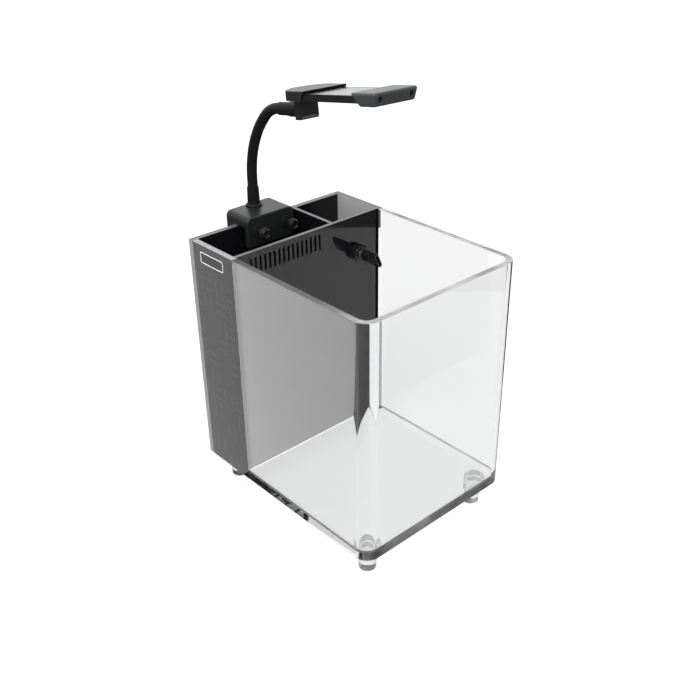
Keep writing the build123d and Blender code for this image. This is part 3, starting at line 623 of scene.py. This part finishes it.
finishes = {
    "black_acrylic": black_acrylic,
    "clear_acrylic": clear_acrylic,
    "black_plastic": moulded_finish("black_plastic_finish", 0.007, 0.015, 0.24, 0.36),
    "lamp_plastic": moulded_finish("lamp_plastic_finish", 0.016, 0.026, 0.28, 0.38, warmth=-0.04,
                                   gloss=0.40),
    "neck_black": moulded_finish("neck_sleeve_finish", 0.006, 0.012, 0.46, 0.60, warmth=-0.03, grain=1800.0,
                                 depth=0.2, gloss=0.25),
    "steel": moulded_finish("turned_steel_finish", 0.42, 0.58, 0.22, 0.38, metal=1.0),
    "black_steel": moulded_finish("blacked_steel_finish", 0.010, 0.020, 0.35, 0.50),
    "impeller_white": moulded_finish("impeller_finish", 0.62, 0.74, 0.35, 0.5, warmth=0.02),
    "soft_rubber": moulded_finish("soft_rubber_finish", 0.018, 0.040, 0.55, 0.75),
    "sponge": moulded_finish("open_foam_finish", 0.008, 0.050, 0.85, 1.0, grain=900.0, depth=1.0,
                             drift=220.0),
    "ceramic": moulded_finish("biscuit_ceramic_finish", grey_tone(0.52, 0.08), grey_tone(0.78, 0.07),
                              0.8, 0.95, grain=1400.0, depth=0.6, drift=150.0),
    "board_white": moulded_finish("board_finish", 0.70, 0.82, 0.3, 0.45, depth=0.05),
    "led": moulded_finish("phosphor_finish", (0.70, 0.56, 0.16, 1), (0.86, 0.74, 0.30, 1), 0.12, 0.25,
                          depth=0.05),
    "diffuser": moulded_finish("milky_diffuser_finish", 0.80, 0.90, 0.35, 0.5, grain=1600.0, through=0.55),
}
print("finishes:", sorted(finishes))

# %% Brushed lamp plate, and every node dressed
brush_stretch = (1.0, 0.02, 0.02)
plate_dark, plate_light = grey_tone(0.335, -0.02), grey_tone(0.345, -0.02)
plate_smooth, plate_rough = 0.215, 0.225
hair_scale = 2500.0

finishes["lamp_metal"], tree, shader, place = start_finish("brushed_plate_finish")
drawn = add(tree, "ShaderNodeMapping", {"Vector": place, "Scale": brush_stretch}).outputs[0]
hair = noise_mask(tree, drawn, hair_scale, 3.0)
feed(tree, shader.inputs, {
    "Base Color": mix_colour(tree, hair, plate_dark, plate_light),
    "Roughness": ramp(tree, hair, 0.0, 1.0, plate_smooth, plate_rough),
    "Metallic": 1.0,
})

own_finish = {
    "left_side_panel": left_panel, "right_side_panel": right_panel,
    "left_rail": finishes["black_plastic"], "right_rail": finishes["black_plastic"],
    # The front cap takes a lighter copy of the lamp plastic: painted light on its front face.
    "front_end_cap": moulded_finish("front_cap_painted_light_finish", 0.058, 0.074, 0.30, 0.42, warmth=-0.04),
}
for part in frame["record"]["subparts"]:
    finish = own_finish.get(part["node"], finishes[part["material_slot"]])
    for slot in nodes[part["node"]].material_slots:
        slot.material = finish

# %% [markdown]
# ## Clear tank: wall, base and feet
# The wall is one sheet, bent round the two front corners. It could be a box with a bevel, but walking
# its section along the plan keeps both faces of the bend true and breaks the rim's edges evenly. An
# extra point a hair before each bend keeps the long faces flat to the eye, so that what they mirror stays
# straight. The wall is bonded to the base and to the black panel on the left, so it runs a hair into both
# and no gap shows at the seams.
# The seam on the right has let go by a hair: light turns back there, and it shows as a white line.

# %% Helpers: outlines, plates and turned shapes
glue_line = 0.03 * mm
bond = 0.05 * mm
corner_steps = 32
same_point = 1e-7
no_length = 1e-8


def arc_points(centre, radius, start, end, steps):
    """Points on an arc between two angles in degrees, both ends included."""
    turns = [math.radians(start + (end - start) * i / steps) for i in range(steps + 1)]
    return [(centre[0] + radius * math.cos(t), centre[1] + radius * math.sin(t)) for t in turns]


def new_piece(name, mesh, finish, body=None, smooth_angle=40.0):
    """Puts a mesh in the scene with its finish, smooth across gentle edges, and rides it on a body."""
    for polygon in mesh.polygons:
        polygon.use_smooth = True
    mesh.set_sharp_from_angle(angle=math.radians(smooth_angle))
    mesh.materials.clear()
    mesh.materials.append(finish)
    piece = new_object(name, mesh)
    if body:
        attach(piece, body)
    return piece


def mesh_from(builder, name):
    """A clean mesh from a bmesh, with doubles merged and faces outward."""
    bmesh.ops.remove_doubles(builder, verts=builder.verts, dist=same_point)
    bmesh.ops.recalc_face_normals(builder, faces=builder.faces)
    mesh = bpy.data.meshes.new(name)
    builder.to_mesh(mesh)
    builder.free()
    return mesh


def faces_between(builder, rings, ring_closed, ends_joined):
    """Faces from each ring of points to the next; returns the rows of corners."""
    rows = [[builder.verts.new(point) for point in ring] for ring in rings]
    for i in range(len(rows) if ends_joined else len(rows) - 1):
        here, there = rows[i], rows[(i + 1) % len(rows)]
        for k in range(len(here) if ring_closed else len(here) - 1):
            n = (k + 1) % len(here)
            builder.faces.new((here[k], here[n], there[n], there[k]))
    return rows


def skin(rings, ends_joined, capped, name):
    """A skin over closed rings, with its ends joined, capped or left open."""
    builder = bmesh.new()
    rows = faces_between(builder, rings, True, ends_joined)
    if capped:
        builder.faces.new(rows[0])
        builder.faces.new(list(reversed(rows[-1])))
    return mesh_from(builder, name)


def turned(profile, centre, name, segments=64):
    """A shape turned about a vertical axis, from the (radius, height) points of its profile."""
    rings = []
    for i in range(segments):
        t = 2 * math.pi * i / segments
        rings.append([(centre[0] + r * math.cos(t), centre[1] + r * math.sin(t), z) for r, z in profile])
    builder = bmesh.new()
    faces_between(builder, rings, False, True)
    bmesh.ops.remove_doubles(builder, verts=builder.verts, dist=same_point)
    bmesh.ops.dissolve_degenerate(builder, edges=builder.edges, dist=no_length)
    return mesh_from(builder, name)


print("helpers: arc_points, new_piece, mesh_from, faces_between, skin, turned")

# %% Clear wall
wall_low, wall_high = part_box("tank_shell")
wall = 5.0 * mm
corner_radius = 12.5 * mm
rim_round = 0.2 * mm
rim_steps = 4
flat_end = 0.3 * mm


def wall_walk():
    """The wall's outer face in plan, as (point, inward direction), from the left seam round to the right."""
    left, right, front, seam = wall_low.x, wall_high.x, wall_low.y, wall_high.y
    bend = corner_radius + flat_end
    walk = [((left, seam + bond), (1.0, 0.0)), ((left, front + bend), (1.0, 0.0))]
    for x, start in ((left + corner_radius, 180.0), (right - corner_radius, 270.0)):
        centre = (x, front + corner_radius)
        if start > 180.0:
            walk += [((left + bend, front), (0.0, 1.0)), ((right - bend, front), (0.0, 1.0))]
        for point in arc_points(centre, corner_radius, start, start + 90.0, corner_steps):
            inward = [(c - p) / corner_radius for c, p in zip(centre, point)]
            walk.append((point, inward))
    walk += [((right, front + bend), (-1.0, 0.0)), ((right, seam - glue_line), (-1.0, 0.0))]
    return walk


foot_of_wall = wall_low.z - bond
rim_centre = rim_height - rim_round
rim_flat = rim_round + flat_end
wall_section = [(0.0, foot_of_wall), (0.0, rim_height - rim_flat)]
wall_section += arc_points((rim_round, rim_centre), rim_round, 180, 90, rim_steps)
wall_section += [(rim_flat, rim_height), (wall - rim_flat, rim_height)]
wall_section += arc_points((wall - rim_round, rim_centre), rim_round, 90, 0, rim_steps)
wall_section += [(wall, rim_height - rim_flat), (wall, foot_of_wall)]
wall_rings = [
    [(point[0] + inward[0] * depth, point[1] + inward[1] * depth, z) for depth, z in wall_section]
    for point, inward in wall_walk()
]
wall_mesh = skin(wall_rings, False, True, "clear_wall")
clear_wall = new_piece("clear_wall", wall_mesh, sawn_rim, "tank")
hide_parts("tank_shell")
print("clear wall:", len(clear_wall.data.polygons), "faces")

# %% Clear base
base_low, base_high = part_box("base_plate")
panel = 5.0 * mm
edge_break = 0.15 * mm


def base_outline(inset):
    """The base in plan: round in front, narrower between the side panels behind the seam."""
    seam = wall_high.y + bond
    narrow = base_high.x - panel + bond
    rear = base_high.y + bond
    outline = []
    for x, start in ((base_low.x + corner_radius, 180), (base_high.x - corner_radius, 270)):
        centre = (x, base_low.y + corner_radius)
        outline += arc_points(centre, corner_radius - inset, start, start + 90, corner_steps)
    outline += [(base_high.x - inset, seam), (narrow, seam), (narrow, rear), (-narrow, rear),
                (-narrow, seam), (base_low.x + inset, seam)]
    return outline


base_rings = [
    [(x, y, z) for x, y in base_outline(inset)]
    for inset, z in (
        (edge_break, base_low.z), (0.0, base_low.z + edge_break),
        (0.0, base_high.z - edge_break), (edge_break, base_high.z + glue_line / 2),
    )
]
base_mesh = skin(base_rings, False, True, "clear_base")
clear_base = new_piece("clear_base", base_mesh, sawn_base, "tank", smooth_angle=20.0)
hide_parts("base_plate")
print("clear base:", len(clear_base.data.polygons), "faces")

# %% Clear feet
foot_step = 10.0 * mm
foot_radius = 7.15 * mm
foot_break = 0.5 * mm
for node in ("foot_front_left", "foot_front_right", "foot_rear_left", "foot_rear_right"):
    low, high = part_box(node)
    collar = (high.x - low.x) / 2
    top = high.z - glue_line
    profile = [
        (0.0, low.z), (foot_radius - foot_break, low.z), (foot_radius, low.z + foot_break),
        (foot_radius, foot_step), (collar - foot_break, foot_step), (collar, foot_step + foot_break),
        (collar, top), (0.0, top),
    ]
    middle = ((low.x + high.x) / 2, (low.y + high.y) / 2)
    foot_mesh = turned(profile, middle, f"clear_{node}")
    foot = new_piece(f"clear_{node}", foot_mesh, moulded_foot, "tank", smooth_angle=30.0)
    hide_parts(node)
print("four clear feet, turned")

# %% [markdown]
# ## Plaque on the left panel
# The left panel has a small plaque with a white outline near its top: a thin dark plate, with the
# outline as a raised line swept round a rounded rectangle.

# %% Plaque
plaque_low = Vector((0.0, 51.5, 212.7)) * mm
plaque_high = Vector((0.0, 81.7, 222.3)) * mm
plaque_radius = 1.6 * mm
plaque_line = 0.9 * mm
plaque_rise = 0.10 * mm
plaque_steps = 6
panel_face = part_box("left_side_panel")[0].x
line_face = panel_face - plaque_rise


def rounded_loop(inset):
    """A rounded rectangle on the panel's face, as (y, z) points."""
    loop = []
    corners = (
        (plaque_high.y, plaque_high.z, -1, -1, 0), (plaque_low.y, plaque_high.z, 1, -1, 90),
        (plaque_low.y, plaque_low.z, 1, 1, 180), (plaque_high.y, plaque_low.z, -1, 1, 270),
    )
    for y, z, way_y, way_z, start in corners:
        centre = (y + way_y * plaque_radius, z + way_z * plaque_radius)
        loop += arc_points(centre, plaque_radius - inset, start, start + 90, plaque_steps)
    return loop


outer_loop = rounded_loop(0.0)
inner_loop = rounded_loop(plaque_line)
line_rings = [
    [(panel_face, *a), (line_face, *a), (line_face, *b), (panel_face, *b)]
    for a, b in zip(outer_loop, inner_loop)
]
ink = moulded_finish("plaque_ink_finish", 0.80, 0.92, 0.4, 0.5, depth=0.05)
line_mesh = skin(line_rings, True, False, "plaque_outline")
plaque_outline = new_piece("plaque_outline", line_mesh, ink, "tank", smooth_angle=30.0)
plate = moulded_finish("plaque_plate_finish", 0.008, 0.014, 0.3, 0.4, gloss=0.08)
plate_rings = [[(panel_face - lift, *point) for point in inner_loop] for lift in (0.0, plaque_rise / 2)]
plate_mesh = skin(plate_rings, False, True, "plaque_plate")
plaque_plate = new_piece("plaque_plate", plate_mesh, plate, "tank", smooth_angle=30.0)
print("plaque:", len(plaque_outline.data.polygons), "+", len(plaque_plate.data.polygons), "faces")

# %% [markdown]
# ## Gooseneck
# The neck is a sleeved tube that follows straight runs and arcs. Geometry Nodes suits a shape that
# follows a path: a curve goes in, a circle is swept along it, and named inputs set its size. The two
# stretches meet in the bend.

# %% Tree: sleeve along a path
def baked(source, tree, values):
    """Runs a tree on an object with inputs set by label; returns the plain mesh, and the object goes."""
    modifier = source.modifiers.new(tree.name, "NODES")
    modifier.node_group = tree
    for item in tree.interface.items_tree:
        if item.item_type == "SOCKET" and item.in_out == "INPUT" and item.name in values:
            modifier[item.identifier] = values[item.name]
    bpy.context.view_layer.update()
    ready = source.evaluated_get(bpy.context.evaluated_depsgraph_get())
    mesh = bpy.data.meshes.new_from_object(ready)
    source.modifiers.clear()
    bpy.data.objects.remove(source)
    return mesh


def realized(tree, copies):
    """Copies made into plain geometry."""
    return add(tree, "GeometryNodeRealizeInstances", {0: copies}).outputs[0]


def dressed(tree, geometry, finish):
    """Geometry with its finish."""
    return add(tree, "GeometryNodeSetMaterial", {"Geometry": geometry, "Material": finish}).outputs[0]


sleeve_tree, takes, gives = start_group("sleeve_along_path", "Geometry", {
    "Path": GEOMETRY, "Radius": 4.25 * mm, "Sides": 40, "Spacing": 1.0 * mm, "Finish": FINISH,
}, {"Sleeve": GEOMETRY})
tree = sleeve_tree
even = add(tree, "GeometryNodeResampleCurve",
           {"Curve": takes["Path"], "Length": takes["Spacing"]}, mode="LENGTH")
section = add(tree, "GeometryNodeCurvePrimitiveCircle",
              {"Resolution": takes["Sides"], "Radius": takes["Radius"]})
swept = add(tree, "GeometryNodeCurveToMesh",
            {"Curve": even.outputs[0], "Profile Curve": section.outputs[0], "Fill Caps": True})
feed(tree, gives, {"Sleeve": dressed(tree, realized(tree, swept.outputs[0]), takes["Finish"])})
print("tree:", sleeve_tree.name)

# %% Route and sleeves
neck_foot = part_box("gooseneck_lower")[0].z
lean_point = Vector(joints["neck_lean"]["pos_m"])
neck_radius = 4.25 * mm
wide_bend = 80.0 * mm
wide_turn = 45.2
tight_bend = 28.7 * mm
level_tilt = 9.0
neck_run = 15.7 * mm
arc_steps = 24
sleeve_finish = finishes["neck_black"]


def neck_arc(start, heading, radius, turn):
    """Points after start on an arc that leans forward; heading is degrees from straight up."""
    way = math.radians(heading)
    centre = Vector((start.x, start.y - radius * math.cos(way), start.z - radius * math.sin(way)))
    points = []
    for i in range(1, arc_steps + 1):
        t = math.radians(heading + turn * i / arc_steps)
        points.append(Vector((start.x, centre.y + radius * math.cos(t), centre.z + radius * math.sin(t))))
    return points


lower_route = [Vector((lean_point.x, lean_point.y, neck_foot)), lean_point]
lower_route += neck_arc(lean_point, 0.0, wide_bend, wide_turn / 2)
upper_route = [lower_route[-1]] + neck_arc(lower_route[-1], wide_turn / 2, wide_bend, wide_turn / 2)
upper_route += neck_arc(upper_route[-1], wide_turn, tight_bend, 90.0 - level_tilt - wide_turn)
neck_way = Vector((0.0, -math.cos(math.radians(level_tilt)), math.sin(math.radians(level_tilt))))
sleeve_mouth = upper_route[-1]
upper_route.append(sleeve_mouth + neck_way * neck_run)


def sleeve(name, route, node):
    """A stretch of the neck along its route, in place of its plain solid."""
    curve = bpy.data.curves.new(name, "CURVE")
    curve.dimensions = "3D"
    spline = curve.splines.new("POLY")
    spline.points.add(len(route) - 1)
    for point, place in zip(spline.points, route):
        point.co = (*place, 1.0)
    source = new_object(f"{name}_route", curve)
    mesh = baked(source, sleeve_tree, {"Radius": neck_radius, "Finish": sleeve_finish})
    piece = new_piece(name, mesh, sleeve_finish, smooth_angle=60.0)
    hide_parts(node)
    return piece


neck_sleeve_lower = sleeve("neck_sleeve_lower", lower_route, "gooseneck_lower")
neck_sleeve_upper = sleeve("neck_sleeve_upper", upper_route, "gooseneck_upper")
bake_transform(neck_sleeve_lower)
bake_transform(neck_sleeve_upper)
print("neck:", len(neck_sleeve_lower.data.polygons), "+", len(neck_sleeve_upper.data.polygons), "faces")

# %% [markdown]
# ## Thumbscrews
# Two thumbscrews hold the clamp. Their grips are ribbed so that wet fingers can turn them. The body
# is a turned shape, and Geometry Nodes sets one thin rib on each point of a circle round it.

# %% Tree: ribs round a grip
ribbed_tree, takes, gives = start_group("ribs_round_grip", "Geometry", {
    "Body": GEOMETRY, "Ribs": 22, "Ring": 4.2 * mm, "Rib Radius": 0.4 * mm, "Rib Length": 4.0 * mm,
    "Height": 2.7 * mm, "Finish": FINISH,
}, {"Grip": GEOMETRY})
tree = ribbed_tree
circle = add(tree, "GeometryNodeMeshCircle", {"Vertices": takes["Ribs"], "Radius": takes["Ring"]})
lift = add(tree, "ShaderNodeCombineXYZ", {"Z": takes["Height"]})
raised = add(tree, "GeometryNodeTransform", {"Geometry": circle.outputs[0], "Translation": lift.outputs[0]})
rib = add(tree, "GeometryNodeMeshCylinder",
          {"Vertices": 8, "Radius": takes["Rib Radius"], "Depth": takes["Rib Length"]})
ribs = add(tree, "GeometryNodeInstanceOnPoints", {"Points": raised.outputs[0], "Instance": rib.outputs[0]})
joined = add(tree, "GeometryNodeJoinGeometry")
for geometry in (takes["Body"], realized(tree, ribs.outputs[0])):
    tree.links.new(geometry, joined.inputs[0])
feed(tree, gives, {"Grip": dressed(tree, joined.outputs[0], takes["Finish"])})
print("tree:", ribbed_tree.name)

# %% Turn and rib both screws
grip_length = 5.5 * mm
grip_break = 0.6 * mm
rib_radius = 0.4 * mm
dish = 0.7 * mm
dish_floor, dish_mouth = 0.55, 0.72
shank_radius = 2.0 * mm
tip_radius = 1.3 * mm
tip_length = 1.4 * mm
grip_segments = 48
lay_down = Matrix.Rotation(math.radians(-90), 4, "X")
grip_finish = finishes["black_plastic"]

for side in ("left", "right"):
    low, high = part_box(f"thumbscrew_{side}")
    core = (high.x - low.x) / 2 - rib_radius
    reach = high.y - low.y
    shoulder = reach - tip_length
    profile = [
        (0.0, dish), (core * dish_floor, dish), (core * dish_mouth, 0.0), (core - grip_break, 0.0),
        (core, grip_break), (core, grip_length - grip_break), (core - grip_break, grip_length),
        (shank_radius, grip_length), (shank_radius, shoulder), (tip_radius, shoulder), (tip_radius, reach),
        (0.0, reach),
    ]
    body = turned(profile, (0.0, 0.0), f"grip_{side}", grip_segments)
    mesh = baked(new_object(f"thumbscrew_{side}_source", body), ribbed_tree, {
        "Ring": core, "Rib Radius": rib_radius, "Rib Length": grip_length - 2 * grip_break,
        "Height": grip_length / 2, "Finish": grip_finish,
    })
    axis_place = Vector(((low.x + high.x) / 2, low.y, (low.z + high.z) / 2))
    mesh.transform(Matrix.Translation(axis_place) @ lay_down)
    grip = new_piece(f"ribbed_thumbscrew_{side}", mesh, grip_finish, f"screw_{side}")
    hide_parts(f"thumbscrew_{side}")
print("thumbscrews:", len(grip.data.polygons), "faces each")

# %% [markdown]
# ## What repeats on a grid
# The lamp's lights, its two cap screws and the ceramic rings in the filter all stand on a grid. One
# tree takes a single piece and sets a copy on every point, so only that one piece has to be drawn.
# The lamp is tilted, so its copies are made level and then turned with the head's own axes.

# %% Tree: repeat on a grid
grid_tree, takes, gives = start_group("repeat_on_grid", "Geometry", {
    "Piece": GEOMETRY, "Columns": 2, "Rows": 2, "Width": 10 * mm, "Length": 10 * mm, "Finish": FINISH,
}, {"Pieces": GEOMETRY})
tree = grid_tree
grid = add(tree, "GeometryNodeMeshGrid", {"Size X": takes["Width"], "Size Y": takes["Length"],
                                          "Vertices X": takes["Columns"], "Vertices Y": takes["Rows"]})
points = add(tree, "GeometryNodeMeshToPoints", {"Mesh": grid.outputs[0]})
copies = add(tree, "GeometryNodeInstanceOnPoints", {"Points": points.outputs[0], "Instance": takes["Piece"]})
feed(tree, gives, {"Pieces": dressed(tree, realized(tree, copies.outputs[0]), takes["Finish"])})


def on_grid(name, single, columns, rows, width, length, place, finish, body):
    """Copies of one mesh on a grid, moved to their place as one piece."""
    values = {"Columns": columns, "Rows": rows, "Width": width, "Length": length, "Finish": finish}
    mesh = baked(new_object(f"{name}_source", single), grid_tree, values)
    mesh.transform(place)
    return new_piece(name, mesh, finish, body)


print("tree:", grid_tree.name)

# %% Lamp head's own axes
head_pitch = math.radians(9.0)
head_roll = math.radians(2.0)
lean, sway = (math.cos(head_pitch), math.sin(head_pitch)), (math.cos(head_roll), math.sin(head_roll))
head_right = Vector((sway[0], -lean[1] * sway[1], -lean[0] * sway[1]))
head_up = Vector((sway[1], lean[1] * sway[0], lean[0] * sway[0]))
head_back = head_up.cross(head_right)
head_turn = Matrix((head_right, head_back, head_up)).transposed().to_4x4()
head_frame = Matrix.Translation(joints["head_turn"]["pos_m"]) @ head_turn
print("head tilts", [round(v, 3) for v in head_up])

# %% Lights
chip_size = 3.0 * mm
chip_height = 0.45 * mm
lens_radius = 1.2 * mm
lens_height = 0.33 * mm
lens_rows, lens_segments = 8, 16
chip_columns, chip_rows = 2, 7
chip_pitch = (13.0 * mm, 7.0 * mm)
board_face = Matrix.Translation((0.0, -53.9 * mm, 12.2 * mm))


def light_chip():
    """A square chip with a low lens, hanging from the board."""
    builder = bmesh.new()
    body = Matrix.Diagonal((chip_size, chip_size, chip_height, 1))
    body = Matrix.Translation((0, 0, -chip_height / 2)) @ body
    bmesh.ops.create_cube(builder, size=1.0, matrix=body)
    half_circle = arc_points((0.0, 0.0), 1.0, -90, 90, lens_rows)
    profile = [(abs(r) * lens_radius, h * lens_height - chip_height) for r, h in half_circle]
    builder.from_mesh(turned(profile, (0.0, 0.0), "lens", lens_segments))
    return mesh_from(builder, "light_chip")


chip_width, chip_length = (chip_columns - 1) * chip_pitch[0], (chip_rows - 1) * chip_pitch[1]
light_chips = on_grid("light_chips", light_chip(), chip_columns, chip_rows, chip_width, chip_length,
                      head_frame @ board_face, finishes["led"], "lamp_head")
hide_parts("leds")
print("lights:", chip_columns * chip_rows)

# %% Cap screws
screw_gap = 29.0 * mm
screw_face = Matrix.Translation((0.0, -99.85 * mm, 11.8 * mm))
screw_profile = [
    (0.0, 0.6), (0.95, 0.6), (0.95, 0.0), (1.6, 0.0), (1.9, 0.3), (1.9, 1.2), (1.1, 1.2), (1.1, 9.2),
    (0.0, 9.2),
]
cap_segments = 24
screw = turned([(r * mm, h * mm) for r, h in screw_profile], (0.0, 0.0), "cap_screw", cap_segments)
screw.transform(lay_down)
socket_screws = on_grid("socket_screws", screw, 2, 1, screw_gap, 0.0, head_frame @ screw_face,
                        finishes["black_steel"], "lamp_head")
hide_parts("cap_screws")
print("cap screws:", len(socket_screws.data.polygons), "faces")

# %% Ceramic rings
ring_low, ring_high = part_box("ceramic_rings")
ring_columns, ring_rows = 7, 3
ring_radius = 5.5 * mm
ring_bore = 2.8 * mm
ring_break = 0.5 * mm
ring_segments = 28
ring_size = ring_high - ring_low
ring_profile = [
    (ring_bore, ring_break), (ring_bore + ring_break, 0.0), (ring_radius - ring_break, 0.0),
    (ring_radius, ring_break), (ring_radius, ring_size.z - ring_break),
    (ring_radius - ring_break, ring_size.z), (ring_bore + ring_break, ring_size.z),
    (ring_bore, ring_size.z - ring_break), (ring_bore, ring_break),
]
ring_place = Matrix.Translation(((ring_low.x + ring_high.x) / 2, (ring_low.y + ring_high.y) / 2, ring_low.z))
ring = turned(ring_profile, (0.0, 0.0), "ceramic_ring", ring_segments)
biscuit_rings = on_grid("biscuit_rings", ring, ring_columns, ring_rows, ring_size.x - 2 * ring_radius,
                        ring_size.y - 2 * ring_radius, ring_place, finishes["ceramic"], "tank")
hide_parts("ceramic_rings")
print("rings:", len(biscuit_rings.data.polygons), "faces")

# %% [markdown]
# ## Filter sponge
# Open foam has soft corners and a pitted skin. A block of small faces is rounded off towards its
# edges, then every point is drawn in a little by a noise, so the sponge keeps inside its own space.

# %% Sponge
sponge_low, sponge_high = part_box("filter_sponge")
foam_step = 1.5 * mm
foam_soft = 2.2 * mm
foam_pit = 0.55 * mm
foam_grain = 520.0
fine_pits, fine_pit_share = 2.3, 0.5


def foam_block():
    """The sponge as a block of small faces, rounded and pitted."""
    size = sponge_high - sponge_low
    middle = (sponge_low + sponge_high) / 2
    block = Matrix.Translation(middle) @ Matrix.Diagonal((*size, 1.0))
    builder = bmesh.new()
    bmesh.ops.create_cube(builder, size=1.0, matrix=block)
    for axis in range(3):
        cuts = round(size[axis] / foam_step)
        for i in range(1, cuts):
            normal = Vector((0, 0, 0))
            normal[axis] = 1.0
            plane = sponge_low.copy()
            plane[axis] += size[axis] * i / cuts
            geometry = builder.verts[:] + builder.edges[:] + builder.faces[:]
            bmesh.ops.bisect_plane(builder, geom=geometry, plane_co=plane, plane_no=normal)
    core = size / 2 - Vector((foam_soft, foam_soft, foam_soft))
    for vertex in builder.verts:
        offset = vertex.co - middle
        nearest = Vector([max(-c, min(c, o)) for c, o in zip(core, offset)])
        outward = (offset - nearest).normalized()
        spot = vertex.co * foam_grain
        pit = abs(noise.noise(spot)) + fine_pit_share * abs(noise.noise(spot * fine_pits))
        vertex.co = middle + nearest + outward * (foam_soft - foam_pit * min(pit, 1.0))
    return mesh_from(builder, "foam_sponge")


foam_sponge = new_piece("foam_sponge", foam_block(), finishes["sponge"], "sponge",
                        smooth_angle=180.0)
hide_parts("filter_sponge")
print("sponge:", len(foam_sponge.data.polygons), "faces")
